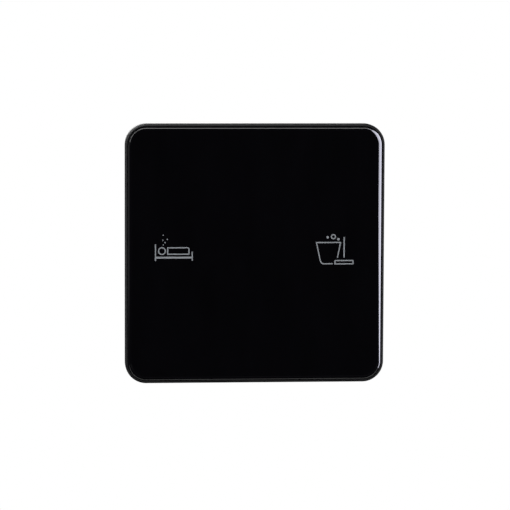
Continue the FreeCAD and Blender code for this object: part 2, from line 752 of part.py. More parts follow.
def front_frame():
    """The moulded frame that carries the glass and clips over the wall plate."""
    body = new_body("front_frame")
    frame_shell(body)
    frame_hollows(body)
    frame_wells(body)
    frame_ribs(body)
    frame_bosses(body)
    frame_catches(body)
    notch = new_sketch(body, "pry_outline", "XY_Plane", -face_half_height + mm.skirt_inset * 2)
    half = mm.pry_width / 2
    draw_rectangle(notch, -half, half, -(mm.skirt_foot + mm.pry_height), -mm.skirt_foot)
    depth = mm.skirt_inset * 2 + mm.skirt_wall
    pocket(body, "pry_notch", notch, depth)
    return body


def light_diffusers():
    """Thin milky films behind the two signs."""
    body = new_body("light_diffusers")
    films = wall_sketch(body, "film_outlines", web_front)
    draw_wells(films, mm.diffuser_lap)
    pad(body, "films", films, mm.tape_thick)
    return body


def unit(vector):
    """A copy of the vector with length one."""
    return vector / vector.Length


def arc_edge(start, apex, end):
    """The arc that touches both sides of an equal-legged corner."""
    chord_middle = (start + end) / 2
    half = (end - start).Length / 2
    rise = (apex - chord_middle).Length
    radius = half * (apex - start).Length / rise
    sagitta = radius - math.sqrt(radius * radius - half * half)
    middle = chord_middle + unit(apex - chord_middle) * sagitta
    return Part.Arc(start, middle, end).toShape()


def biarc_edges(start, start_way, end, end_way):
    """Two arcs that join two points along the given directions."""
    span = end - start
    both = start_way + end_way
    bend = 2 * (1 - start_way.dot(end_way))
    across = span.dot(both)
    reach = (math.sqrt(across * across + bend * span.dot(span)) - across) / bend
    first_apex = start + start_way * reach
    second_apex = end - end_way * reach
    joint = (first_apex + second_apex) / 2
    return [arc_edge(start, first_apex, joint), arc_edge(joint, second_apex, end)]


def touch_spring(name, side):
    """A coil spring that carries the touch sense from the board to the glass."""
    wire = mm.spring_wire.number / 2
    radius = mm.spring_radius.number
    start_out = board_front.number + mm.spring_gap.number + wire
    end_out = web_front.number - mm.spring_gap.number - wire
    rise = end_out - start_out
    middle = Vector(side * key_offset.number, 0, mm.key_rise.number)
    steps = int(SPRING_TURNS * SPRING_STEPS_PER_TURN)
    turn = 2 * math.pi * SPRING_TURNS

    def point(step):
        angle = turn * step / steps
        out = start_out + rise * step / steps
        return middle + Vector(radius * math.cos(angle), -out, radius * math.sin(angle))

    def way(step):
        angle = turn * step / steps
        climb = rise / turn
        return unit(Vector(-radius * math.sin(angle), -climb, radius * math.cos(angle)))

    edges = []
    for step in range(steps):
        edges += biarc_edges(point(step), way(step), point(step + 1), way(step + 1))
    path = Part.Wire(edges)
    across = Vector(1, 0, 0)
    up = way(0).cross(across)
    corners = []
    for side_number in range(WIRE_SIDES + 1):
        angle = 2 * math.pi * side_number / WIRE_SIDES
        corners.append(point(0) + (across * math.cos(angle) + up * math.sin(angle)) * wire)
    section = Part.makePolygon(corners)
    least_gap = rise / SPRING_TURNS - mm.spring_wire.number
    print(f"{name}: least gap between turns {least_gap:.2f} mm")
    spring = doc.addObject("Part::Feature", name)
    spring.Label = name
    spring.Shape = path.makePipeShell([section], True, False)
    spring.Placement = FreeCAD.Placement()
    return spring


def touch_board():
    """The touch sensing board, held between the frame's bosses and the cover."""
    body = new_body("touch_board")
    outline = wall_sketch(body, "board_outline", board_back)
    draw_centred(outline, board_half_width, board_half_height, mm.board_corner)
    draw_four_circles(
        outline,
        cover_screw_across,
        cover_screw_up,
        mm.cover_screw_radius + mm.board_hole_gap,
    )
    pad(body, "board_sheet", outline, mm.board_thick)
    return body


def indicator_leds():
    """Four small lamps, two in each light well."""
    body = new_body("indicator_leds")
    outlines = wall_sketch(body, "led_outlines", board_front)
    half_width = mm.led_width / 2
    half_height = mm.led_height / 2
    for side in SIDES:
        for way in SIDES:
            middle = key_offset * side + mm.led_offset * way
            draw_rectangle(
                outlines,
                middle - half_width,
                middle + half_width,
                mm.key_rise - half_height,
                mm.key_rise + half_height,
            )
    pad(body, "leds", outlines, mm.led_depth)
    return body


def touch_chip():
    """The touch controller, with its rows of leads."""
    body = new_body("touch_chip")
    low = mm.chip_rise - mm.chip_width / 2
    high = mm.chip_rise + mm.chip_width / 2
    case = wall_sketch(body, "chip_outline", board_back - mm.chip_height)
    draw_rectangle(case, -mm.chip_length / 2, mm.chip_length / 2, low, high)
    pad(body, "chip_case", case, mm.chip_height)
    leads = wall_sketch(body, "lead_outlines", board_back - mm.lead_thick)
    half = mm.lead_width / 2
    for column in LEAD_COLUMNS:
        middle = mm.lead_pitch * column
        draw_rectangle(leads, middle - half, middle + half, low - mm.lead_length, high + mm.lead_length)
    pad(body, "leads", leads, mm.lead_thick)
    return body


def chip_resistors():
    """A row of small resistors on the touch board."""
    body = new_body("chip_resistors")
    outlines = wall_sketch(body, "resistor_outlines", board_back - mm.resistor_height)
    half_width = mm.resistor_width / 2
    half_length = mm.resistor_length / 2
    for column in RESISTOR_COLUMNS:
        middle = mm.resistor_pitch * column
        draw_rectangle(
            outlines,
            middle - half_width,
            middle + half_width,
            -mm.resistor_drop - half_length,
            -mm.resistor_drop + half_length,
        )
    pad(body, "resistors", outlines, mm.resistor_height)
    return body


def draw_header_grid(sketch, side):
    """Square outlines at the header's eight pin positions."""
    half = side / 2
    for column in PIN_COLUMNS:
        for row in PIN_ROWS:
            across = mm.header_pitch * column
            up = mm.header_pitch * row
            draw_rectangle(sketch, across - half, across + half, up - half, up + half)


def header_socket():
    """The socket under the touch board that plugs over the header pins."""
    body = new_body("header_socket")
    outline = wall_sketch(body, "socket_outline", -socket_end)
    half_width = header_half_width + mm.socket_wall
    half_height = header_half_height + mm.socket_wall
    draw_rectangle(outline, -half_width, half_width, -half_height, half_height)
    pad(body, "socket_block", outline, board_back + socket_end)
    roof = board_back - mm.socket_roof
    holes = wall_sketch(body, "socket_holes", roof)
    draw_header_grid(holes, mm.socket_hole)
    pocket(body, "socket_holes_cut", holes, roof + socket_end)
    return body


def draw_window(sketch):
    """The opening that the socket passes through."""
    half_width = header_half_width + mm.socket_wall + mm.window_gap
    half_height = header_half_height + mm.socket_wall + mm.window_gap
    draw_rectangle(sketch, -half_width, half_width, -half_height, half_height)


def rear_cover():
    """The cover screwed over the back of the front module."""
    body = new_body("rear_cover")
    outline = wall_sketch(body, "cover_outline", cover_back)
    draw_centred(outline, cover_half_width, cover_half_height, mm.cover_corner)
    pad(body, "cover_slab", outline, board_back - cover_back)
    hollow = wall_sketch(body, "cover_hollow_outline", board_back)
    draw_centred(
        hollow,
        cover_half_width - mm.cover_wall,
        cover_half_height - mm.cover_wall,
        mm.cover_corner - mm.cover_wall,
    )
    pocket(body, "cover_hollow", hollow, mm.chip_space)
    pillars = wall_sketch(body, "pillar_outlines", cover_back)
    draw_four_squares(pillars, cover_screw_across, cover_screw_up, mm.boss_radius)
    pad(body, "pillars", pillars, board_back - cover_back)
    sink = mm.cover_head_height + mm.head_sink
    heads = wall_sketch(body, "head_recesses", cover_back + sink)
    draw_four_circles(
        heads, cover_screw_across, cover_screw_up, mm.cover_head_radius + mm.head_fit
    )
    pocket(body, "head_recesses_cut", heads, sink)
    holes = wall_sketch(body, "shank_holes", board_back)
    draw_four_circles(
        holes, cover_screw_across, cover_screw_up, mm.cover_screw_radius + mm.board_hole_gap
    )
    draw_window(holes)
    pocket(body, "shank_holes_cut", holes, board_back - cover_back)
    return body


def four_screws(name, across, up, head_out, way, sizes):
    """Four equal screws; way is 1 where they point into the wall and -1 out of it."""
    head_radius, head_height, shank_radius, shank_length = sizes
    body = new_body(name)
    profile = new_sketch(body, "screw_profile", "XY_Plane", up)
    profile.setExpression("AttachmentOffset.Base.x", as_length(across).formula)
    profile.setExpression("AttachmentOffset.Base.y", (-head_out).formula)
    shoulder = head_height * way
    tip = (head_height + shank_length) * way
    draw_polygon(
        profile,
        [
            (ZERO, ZERO),
            (head_radius, ZERO),
            (head_radius, shoulder),
            (shank_radius, shoulder),
            (shank_radius, tip),
            (ZERO, tip),
        ],
    )
    to_four_corners(body, "screws", [turned(body, "screw", profile)])
    return body


def cover_screws():
    """The screws that hold the rear cover and the board to the frame."""
    head_out = cover_back + mm.head_sink
    reach = board_front + mm.cover_screw_reach - head_out - mm.cover_head_height
    sizes = (mm.cover_head_radius, mm.cover_head_height, mm.cover_screw_radius, reach)
    return four_screws(
        "cover_screws", cover_screw_across, cover_screw_up, head_out, -1, sizes
    )


def housing_screws():
    """The screws that hold the mounting plate to the housing."""
    head_out = plate_front - mm.head_sink
    sizes = (
        mm.housing_head_radius,
        mm.housing_head_height,
        mm.housing_screw_radius,
        mm.housing_screw_length,
    )
    return four_screws(
        "housing_screws", housing_screw_at, housing_screw_at, head_out, 1, sizes
    )


def clip_hole_across():
    """Distance of a clip's stake from the centre line."""
    return plate_half_width - mm.clip_inset - mm.clip_leg / 2


def plate_openings(body):
    """Slots, lands and recesses in the front of the mounting plate."""
    lands = wall_sketch(body, "slot_lands", plate_front)
    slots = wall_sketch(body, "wall_slots", plate_front)
    for side in SIDES:
        across = mm.fixing_spacing / 2 * side
        length = mm.slot_length + mm.slot_land * 2
        width = mm.slot_width + mm.slot_land * 2
        draw_slot(lands, across, ZERO, length, width)
        draw_slot(slots, across, ZERO, mm.slot_length, mm.slot_width)
    pocket(body, "slot_lands_cut", lands, mm.slot_sink)
    pocket(body, "wall_slots_cut", slots, mm.plate_thick)
    window = wall_sketch(body, "header_window", plate_front)
    draw_window(window)
    pocket(body, "header_window_cut", window, mm.plate_thick)
    heads = wall_sketch(body, "head_recesses", plate_front)
    draw_four_circles(
        heads, housing_screw_at, housing_screw_at, mm.housing_head_radius + mm.head_fit
    )
    pocket(body, "head_recesses_cut", heads, mm.housing_head_height + mm.head_sink)
    shanks = wall_sketch(body, "shank_holes", plate_front)
    draw_four_circles(
        shanks, housing_screw_at, housing_screw_at, mm.housing_screw_radius + mm.board_hole_gap
    )
    pocket(body, "shank_holes_cut", shanks, mm.plate_thick)


def plate_upstand(body):
    """The stiffening rim on the plate's front, open where the clips stand."""
    rim = wall_sketch(body, "upstand_outlines", plate_front)
    for inset in (mm.upstand_inset, mm.upstand_inset + mm.upstand_thick):
        draw_centred(
            rim, plate_half_width - inset, plate_half_height - inset, mm.plate_corner - inset
        )
    pad(body, "upstand", rim, mm.upstand_height)
    gaps = wall_sketch(body, "upstand_gaps", plate_front + mm.upstand_height)
    inner = plate_half_width - mm.upstand_inset - mm.upstand_thick * 2
    half = mm.clip_width / 2 + mm.upstand_clip_gap
    for side in SIDES:
        left, right = sorted((inner * side, plate_half_width * side), key=lambda edge: edge.number)
        for level in SIDES:
            middle = mm.clip_rise * level
            draw_rectangle(gaps, left, right, middle - half, middle + half)
    pocket(body, "upstand_gaps_cut", gaps, mm.upstand_height)


def mounting_plate():
    """The plate screwed to the wall box, which the front clips over."""
    body = new_body("mounting_plate")
    outline = wall_sketch(body, "plate_outline", 0.0)
    draw_centred(outline, plate_half_width, plate_half_height, mm.plate_corner)
    pad(body, "plate_slab", outline, mm.plate_thick)
    seat_half = housing_half + mm.housing_fit
    seat = wall_sketch(body, "housing_seat_outline", mm.housing_seat)
    draw_centred(seat, seat_half, seat_half, mm.housing_corner + mm.housing_fit)
    pocket(body, "housing_seat_cut", seat, mm.housing_seat)
    pillars = wall_sketch(body, "pillar_outlines", -mm.power_depth)
    pillar_at = housing_inside - mm.power_fit - mm.pillar_radius
    draw_circle(pillars, ZERO, pillar_at, mm.pillar_radius)
    for side in SIDES:
        draw_circle(pillars, pillar_at * side, -mm.housing_rib_drop, mm.pillar_radius)
    pad(body, "pillars", pillars, mm.power_depth + mm.housing_seat)
    plate_upstand(body)
    stakes = wall_sketch(body, "stake_outlines", plate_front)
    draw_four_circles(stakes, clip_hole_across(), mm.clip_rise, mm.stake_radius)
    pad(body, "stakes", stakes, mm.clip_thick + mm.stake_proud)
    plate_openings(body)
    return body


def retaining_clips():
    """Four bent spring strips that hold the front frame's catches."""
    body = new_body("retaining_clips")
    bend = plate_half_width - mm.clip_inset
    leg_start = bend - mm.clip_leg
    seat = plate_front
    # The strip is thicker across than through its slanted arms
    slant = mm.clip_thick * 1.3
    bulge = bend + mm.clip_bulge
    profile = new_sketch(body, "clip_profile", "XY_Plane", mm.clip_rise)
    draw_polygon(
        profile,
        [
            (leg_start, -seat),
            (bend, -seat),
            (bulge, -(seat + mm.clip_bulge_up)),
            (bend, -(seat + mm.clip_top)),
            (bend - slant, -(seat + mm.clip_top)),
            (bulge - slant, -(seat + mm.clip_bulge_up)),
            (bend - slant, -(seat + mm.clip_thick)),
            (leg_start, -(seat + mm.clip_thick)),
        ],
    )
    strip = pad(body, "strip", profile, mm.clip_width, both_ways=True)
    hole = wall_sketch(body, "stake_hole", seat + mm.clip_thick)
    draw_circle(hole, clip_hole_across(), mm.clip_rise, mm.stake_radius + mm.screw_fit)
    cut = pocket(body, "stake_hole_cut", hole, mm.clip_thick)
    to_four_corners(body, "clips", [strip, cut])
    return body


def housing_shell(body):
    """The open moulded box with bevelled rear edges."""
    outline = wall_sketch(body, "housing_outline", -mm.housing_depth)
    draw_centred(outline, housing_half, housing_half, mm.housing_corner)
    box = pad(body, "housing_block", outline, mm.housing_depth + mm.housing_seat)
    rear = mm.housing_depth.number
    bevelled_edges(body, "rear_bevel", box, lambda edge: lies_at(edge, "Y", rear), mm.housing_bevel)
    hollow = wall_sketch(body, "housing_hollow_outline", mm.housing_seat)
    draw_centred(hollow, housing_inside, housing_inside, mm.housing_corner - mm.housing_wall)
    pocket(body, "housing_hollow", hollow, mm.housing_depth + mm.housing_seat - mm.housing_wall)


def housing_supports(body):
    """Screw bosses in the corners and ribs behind the power board."""
    rear_floor = mm.housing_depth - mm.housing_wall
    bosses = wall_sketch(body, "boss_outlines", -rear_floor)
    draw_four_circles(bosses, housing_screw_at, housing_screw_at, mm.housing_boss_radius)
    pad(body, "bosses", bosses, rear_floor + mm.housing_seat)
    hole_depth = mm.housing_screw_length + mm.housing_screw_radius
    holes = wall_sketch(body, "boss_holes", mm.housing_seat)
    draw_four_circles(
        holes, housing_screw_at, housing_screw_at, mm.housing_screw_radius + mm.screw_fit
    )
    pocket(body, "boss_holes_cut", holes, hole_depth)
    ribs = wall_sketch(body, "rib_outlines", -rear_floor)
    half = mm.housing_rib_width / 2
    outer = housing_half - mm.housing_wall / 2
    inner = housing_inside - mm.housing_rib_depth
    draw_rectangle(ribs, -half, half, inner, outer)
    for side in SIDES:
        draw_rectangle(
            ribs,
            inner * side,
            outer * side,
            -mm.housing_rib_drop - half,
            -mm.housing_rib_drop + half,
        )
    pad(body, "ribs", ribs, rear_floor - power_back)


def housing_cuts(body):
    """Vent slots in the rear wall, and the corner that the terminals fill."""
    vents = wall_sketch(body, "vent_outlines", -(mm.housing_depth - mm.housing_wall))
    half_width = mm.vent_width / 2
    half_length = mm.vent_length / 2
    for column in VENT_COLUMNS:
        middle = mm.vent_pitch * column
        draw_rectangle(
            vents,
            middle - half_width,
            middle + half_width,
            mm.vent_rise - half_length,
            mm.vent_rise + half_length,
        )
    pocket(body, "vents", vents, mm.housing_wall)
    sides = new_sketch(body, "side_vent_outlines", "YZ_Plane", housing_half)
    rear = mm.housing_depth - mm.side_vent_setback
    for row in SIDE_VENT_ROWS:
        middle = mm.vent_rise + mm.side_vent_pitch * row
        draw_rectangle(
            sides,
            rear - mm.side_vent_length,
            rear,
            middle - half_width,
            middle + half_width,
        )
    pocket(body, "side_vents", sides, mm.housing_width)
    corner = new_sketch(body, "terminal_corner", "YZ_Plane", 0.0)
    start = power_back + mm.block_step - mm.block_fit
    past = mm.housing_depth + mm.housing_wall
    draw_rectangle(
        corner, start, past, block_bottom - mm.housing_wall, block_top + mm.block_fit
    )
    pocket(body, "terminal_corner_cut", corner, (block_half_width + mm.block_fit) * 2, both_ways=True)


def back_housing():
    """The box in the wall that holds the mains side."""
    body = new_body("back_housing")
    housing_shell(body)
    housing_supports(body)
    housing_cuts(body)
    return body


def power_board():
    """The mains board, notched round the housing's screw bosses."""
    body = new_body("power_board")
    half = housing_inside - mm.power_fit
    notch = housing_screw_at - mm.housing_boss_radius - mm.power_fit
    outline = wall_sketch(body, "power_outline", -power_back)
    draw_polygon(
        outline,
        [
            (-notch, -half),
            (notch, -half),
            (notch, -notch),
            (half, -notch),
            (half, notch),
            (notch, notch),
            (notch, half),
            (-notch, half),
            (-notch, notch),
            (-half, notch),
            (-half, -notch),
            (-notch, -notch),
        ],
    )
    pad(body, "power_sheet", outline, mm.power_thick)
    holes = wall_sketch(body, "leg_holes", -mm.power_depth)
    draw_header_grid(holes, mm.header_pin + mm.board_hole_gap)
    for way in WAYS:
        draw_rectangle(
            holes,
            way_centre(way) - busbar_half_width - mm.board_hole_gap,
            way_centre(way) + busbar_half_width + mm.board_hole_gap,
            busbar_leg_low - mm.board_hole_gap,
            busbar_leg_high + mm.board_hole_gap,
        )
    pocket(body, "leg_holes_cut", holes, mm.power_thick)
    return body


def pin_header():
    """The moulded base of the header between the two boards."""
    body = new_body("pin_header")
    outline = wall_sketch(body, "header_outline", -mm.power_depth)
    half_width = header_half_width - mm.header_margin
    half_height = header_half_height - mm.header_margin
    draw_rectangle(outline, -half_width, half_width, -half_height, half_height)
    draw_header_grid(outline, mm.header_pin + mm.screw_fit)
    pad(body, "header_block", outline, mm.header_base)
    return body


def header_pins():
    """Eight square pins through the header and the power board."""
    body = new_body("header_pins")
    outline = wall_sketch(body, "pin_outlines", -(power_back + mm.solder_tail))
    draw_header_grid(outline, mm.header_pin)
    length = mm.solder_tail + mm.power_thick + mm.header_base + mm.header_reach
    pad(body, "pins", outline, length)
    return body


def relay(name, side):
    """A sealed relay on the power board."""
    body = new_body(name)
    inner = mm.relay_inner * side
    outer = (mm.relay_inner + mm.relay_width) * side
    left, right = (inner, outer) if side > 0 else (outer, inner)
    outline = wall_sketch(body, "relay_outline", -(power_back + mm.relay_height))
    draw_rectangle(outline, left, right, mm.relay_rise, relay_top)
    case = pad(body, "relay_case", outline, mm.relay_height)
    rear = (power_back + mm.relay_height).number
    bevelled_edges(body, "case_bevel", case, lambda edge: lies_at(edge, "Y", rear), mm.relay_bevel)
    return body


def power_transformer():
    """The small transformer: a core round a wound bobbin."""
    body = new_body("power_transformer")
    half_width = mm.core_width / 2
    half_length = mm.core_length / 2
    core = wall_sketch(body, "core_outline", -(power_back + mm.core_height))
    draw_rectangle(core, -half_width, half_width, -half_length, half_length)
    pad(body, "core", core, mm.core_height)
    bobbin = wall_sketch(body, "bobbin_outline", -(power_back + mm.core_height - mm.winding_inset))
    draw_rounded(
        bobbin,
        -half_width + mm.core_leg,
        half_width - mm.core_leg,
        -half_length - mm.winding_proud,
        half_length + mm.winding_proud,
        mm.winding_proud,
    )
    pad(body, "bobbin", bobbin, mm.core_height - mm.winding_inset * 2)
    place(body, -mm.core_at, 0.0, parts_row)
    return body


def filter_capacitors():
    """Two electrolytic cans with a rolled groove near the board."""
    body = new_body("filter_capacitors")
    radius = mm.capacitor_radius
    groove = mm.capacitor_neck
    profile = new_sketch(body, "can_profile", "XY_Plane", 0.0)
    draw_polygon(
        profile,
        [
            (ZERO, power_back),
            (radius, power_back),
            (radius, power_back + groove * 4),
            (radius - groove, power_back + groove * 6),
            (radius, power_back + groove * 8),
            (radius, power_back + mm.capacitor_height - groove),
            (radius - groove, power_back + mm.capacitor_height),
            (ZERO, power_back + mm.capacitor_height),
        ],
    )
    can = turned(body, "can", profile)
    repeated(body, "can_pair", can, "X_Axis", mm.capacitor_pitch)
    place(body, -mm.capacitor_at, 0.0, parts_row)
    return body


def fuse():
    """The round fuse on the power board."""
    body = new_body("fuse")
    outline = wall_sketch(body, "fuse_outline", -(power_back + mm.fuse_height))
    draw_circle(outline, ZERO, ZERO, mm.fuse_radius)
    pad(body, "fuse_case", outline, mm.fuse_height)
    place(body, mm.fuse_at, 0.0, parts_row)
    return body


def varistor():
    """The disc varistor, upright on its two leads."""
    body = new_body("varistor")
    middle = power_back + mm.varistor_lift + mm.varistor_radius
    disc = new_sketch(body, "disc_outline", "XY_Plane", 0.0)
    draw_circle(disc, ZERO, middle, mm.varistor_radius)
    pad(body, "disc", disc, mm.varistor_thick, both_ways=True)
    leads = wall_sketch(body, "lead_outlines", -middle)
    half = mm.varistor_lead / 2
    for side in SIDES:
        across = mm.varistor_radius / 2 * side
        draw_rectangle(leads, across - half, across + half, -half, half)
    pad(body, "leads", leads, middle - power_back)
    place(body, 0.0, 0.0, relay_top + mm.varistor_gap + mm.varistor_thick / 2)
    return body


def terminal_chambers(body):
    """One chamber for each cage, with its wire, screw and busbar openings."""
    chambers = wall_sketch(body, "chamber_outlines", -chamber_front)
    holes = wall_sketch(body, "screw_holes", -chamber_front)
    entries = new_sketch(body, "wire_entries", "XY_Plane", chamber_bottom)
    slots = new_sketch(body, "busbar_slots", "XY_Plane", block_top)
    half_entry = mm.wire_width / 2
    gap = mm.block_fit
    for way in WAYS:
        centre = way_centre(way)
        draw_rectangle(
            chambers,
            centre - chamber_half_width,
            centre + chamber_half_width,
            chamber_bottom,
            chamber_top,
        )
        draw_circle(holes, centre, terminal_axis_height, mm.lip_hole_radius)
        draw_rectangle(entries, centre - half_entry, centre + half_entry, floor_top, busbar_bottom)
        draw_rectangle(
            slots,
            centre - busbar_half_width - gap,
            centre + busbar_half_width + gap,
            busbar_bottom - gap,
            busbar_top + gap,
        )
    pocket(body, "chambers", chambers, lip_back - chamber_front)
    pocket(body, "screw_holes_cut", holes, mm.housing_depth - chamber_front)
    pocket(body, "wire_entries_cut", entries, chamber_bottom - block_bottom)
    pocket(body, "busbar_slots_cut", slots, block_top - chamber_top)


def terminal_block():
    """The moulded block of four wire terminals."""
    body = new_body("terminal_block")
    inside_bottom = -housing_inside + mm.block_fit
    between_bosses = housing_screw_at - mm.housing_boss_radius - mm.block_fit
    base = wall_sketch(body, "block_base_outline", -(power_back + mm.block_step))
    draw_rectangle(base, -between_bosses, between_bosses, inside_bottom, block_top)
    pad(body, "block_base", base, mm.block_step)
    main = wall_sketch(body, "block_outline", -mm.housing_depth)
    draw_rectangle(main, -block_half_width, block_half_width, block_bottom, block_top)
    pad(body, "block_main", main, mm.housing_depth - power_back - mm.block_step)
    terminal_chambers(body)
    return body


def busbars():
    """Four bent brass bars from the terminals down through the power board."""
    body = new_body("busbars")
    profile = new_sketch(body, "busbar_profile", "YZ_Plane", way_centre(WAYS[0]))
    draw_polygon(
        profile,
        [
            (busbar_bottom, chamber_bottom),
            (busbar_top, chamber_bottom),
            (busbar_top, busbar_leg_high),
            (mm.power_depth - mm.solder_tail, busbar_leg_high),
            (mm.power_depth - mm.solder_tail, busbar_leg_low),
            (busbar_bottom, busbar_leg_low),
        ],
    )
    bar = pad(body, "busbar", profile, busbar_half_width * 2, both_ways=True)
    repeated(body, "busbar_row", bar, "X_Axis", mm.way_pitch * 3, count=len(WAYS))
    return body


def terminal_screw(way):
    """A captive terminal screw, slotted for a screwdriver."""
    body = new_body(f"terminal_screw_{way}")
    profile = new_sketch(body, "screw_profile", "XY_Plane", 0.0)
    tip = busbar_top + mm.cage_fit
    draw_polygon(
        profile,
        [
            (ZERO, tip),
            (mm.terminal_shank_radius, tip),
            (mm.terminal_shank_radius, head_seat),
            (mm.terminal_head_radius, head_seat),
            (mm.terminal_head_radius, head_top),
            (ZERO, head_top),
        ],
    )
    turned(body, "screw", profile)
    slot = new_sketch(body, "driver_slot", "YZ_Plane", 0.0)
    reach = mm.terminal_head_radius * 2
    half = mm.terminal_slot_width / 2
    draw_rectangle(slot, head_top - mm.terminal_slot_depth, head_top + half, -half, half)
    pocket(body, "driver_slot_cut", slot, reach, both_ways=True)
    place(body, way_centre(way), 0.0, terminal_axis_height)
    return body


def wire_clamp(way):
    """The cage that a terminal screw lifts to grip a wire."""
    body = new_body(f"wire_clamp_{way}")
    profile = new_sketch(body, "cage_profile", "XY_Plane", 0.0)
    half = mm.wire_width / 2
    draw_rectangle(profile, -cage_half_width, cage_half_width, floor_bottom, roof_top)
    draw_rectangle(profile, -half, half, floor_top, roof_bottom)
    pad(body, "cage", profile, mm.cage_length, both_ways=True)
    bore = wall_sketch(body, "screw_bore", -roof_bottom)
    draw_circle(bore, ZERO, ZERO, mm.terminal_shank_radius + mm.cage_fit)
    pocket(body, "screw_bore_cut", bore, mm.cage_roof)
    place(body, way_centre(way), 0.0, terminal_axis_height)
    return body


def build_panel():
    """Every piece of the panel, in the order it would be assembled."""
    pieces = [
        cover_glass(),
        glass_tape(),
        front_frame(),
        light_diffusers(),
        touch_spring("touch_spring_left", -1),
        touch_spring("touch_spring_right", 1),
        touch_board(),
        indicator_leds(),
        touch_chip(),
        chip_resistors(),
        header_socket(),
        rear_cover(),
        cover_screws(),
        mounting_plate(),
        retaining_clips(),
        back_housing(),
        housing_screws(),
        power_board(),
        pin_header(),
        header_pins(),
        relay("relay_left", -1),
        relay("relay_right", 1),
        power_transformer(),
        filter_capacitors(),
        fuse(),
        varistor(),
        terminal_block(),
        busbars(),
    ]
    pieces += [terminal_screw(way) for way in WAYS]
    pieces += [wire_clamp(way) for way in WAYS]
    return pieces


def check_document():
    """Stop if any object of the document failed to recompute."""
    doc.recompute()
    failed = [
        item.Name for item in doc.Objects if "Invalid" in item.State or "Error" in item.State
    ]
    if failed:
        raise ValueError(f"failed objects: {failed}")


def write_piece(piece):
    """Check one piece's shape and write it as a STEP file."""
    shape = piece.Shape
    if shape.isNull() or not shape.isValid() or not shape.Solids:
        raise ValueError(f"{piece.Label} has no sound shape")
    shape.exportStep(os.path.join("parts", f"{piece.Label}.step"))


os.makedirs("parts", exist_ok=True)
panel = build_panel()
check_document()
for piece in panel:
    write_piece(piece)
print(f"{len(panel)} pieces written")
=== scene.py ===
import json
import math

import bmesh
import bpy
from bpy.props import FloatProperty, FloatVectorProperty, IntProperty, PointerProperty
from mathutils import Matrix, Vector


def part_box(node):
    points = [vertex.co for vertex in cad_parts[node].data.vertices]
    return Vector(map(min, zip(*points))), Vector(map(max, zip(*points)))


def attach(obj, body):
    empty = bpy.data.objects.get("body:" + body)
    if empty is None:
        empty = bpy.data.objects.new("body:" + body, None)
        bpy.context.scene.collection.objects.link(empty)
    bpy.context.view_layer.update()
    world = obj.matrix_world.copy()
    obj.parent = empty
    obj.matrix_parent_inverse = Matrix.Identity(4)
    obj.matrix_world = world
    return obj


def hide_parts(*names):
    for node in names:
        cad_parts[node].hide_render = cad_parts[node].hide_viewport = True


bl_info = {
    "name": "Glass touch panel",
    "version": (1, 0, 0),
    "blender": (4, 5, 0),
    "location": "View3D > Sidebar > Touch panel",
    "description": "Dresses a square glass touch panel, its wall base and its small studio",
    "category": "Object",
}

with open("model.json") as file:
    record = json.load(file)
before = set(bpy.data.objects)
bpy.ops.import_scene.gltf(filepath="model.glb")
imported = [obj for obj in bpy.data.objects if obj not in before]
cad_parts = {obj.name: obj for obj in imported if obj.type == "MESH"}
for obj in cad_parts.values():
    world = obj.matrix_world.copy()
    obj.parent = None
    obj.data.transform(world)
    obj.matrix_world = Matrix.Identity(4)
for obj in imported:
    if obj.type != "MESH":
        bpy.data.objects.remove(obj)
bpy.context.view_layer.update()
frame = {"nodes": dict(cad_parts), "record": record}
GLASS_LOW, GLASS_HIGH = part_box("cover_glass")
SPRING_LOW, SPRING_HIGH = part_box("touch_spring_right")

RECORD = frame["record"]
SLOTS = {part["node"]: part["material_slot"] for part in RECORD["subparts"]}
BODIES = {node: body for body, nodes in RECORD["behaviour"]["bodies"].items() for node in nodes}
FINISHES = {}
WAYS = (1, 2, 3, 4)

MM = 0.001
QUARTER = math.radians(90)
WHITE = (1.0, 1.0, 1.0)


# Sizes and colours that a user would change

def length_prop(name, description, default):
    """A length in metres."""
    return FloatProperty(
        name=name, description=description, default=default, unit="LENGTH", subtype="DISTANCE"
    )


def angle_prop(name, description, degrees):
    """An angle, given here in degrees."""
    return FloatProperty(
        name=name, description=description, default=math.radians(degrees), unit="ROTATION",
        subtype="ANGLE",
    )


def colour_prop(name, description, default):
    """A colour in linear light."""
    return FloatVectorProperty(
        name=name, description=description, default=default, subtype="COLOR", size=3
    )


def level_prop(name, description, default, **limits):
    """A brightness, or with its unit a power."""
    return FloatProperty(name=name, description=description, default=default, min=0.0, **limits)


class GlassSizes(bpy.types.PropertyGroup):
    """The cover glass."""

    corner: length_prop("Corner", "Corner radius seen from the room", 6.05 * MM)
    edge_radius: length_prop("Edge radius", "Radius of the ground front edge", 2.3 * MM)
    edge_start: angle_prop("Edge start", "Slope where the ground edge leaves the face", 25)
    edge_end: angle_prop("Edge end", "Slope where the ground edge meets the side", 65)
    edge_break: length_prop(
        "Edge break", "Small radius at both ends of the ground edge", 0.22 * MM
    )
    back_bevel: length_prop("Back bevel", "Bevel on the back edge", 0.15 * MM)
    tint: colour_prop("Print", "Colour of the print behind the glass", (0.0072, 0.0066, 0.0100))


class SignSizes(bpy.types.PropertyGroup):
    """The two signs printed on the glass."""

    line: length_prop("Line", "Width of the signs' lines", 0.37 * MM)
    film: length_prop("Film", "Thickness of the printed film", 0.015 * MM)
    ink: colour_prop("Ink", "Colour of the signs", (0.238, 0.252, 0.27))


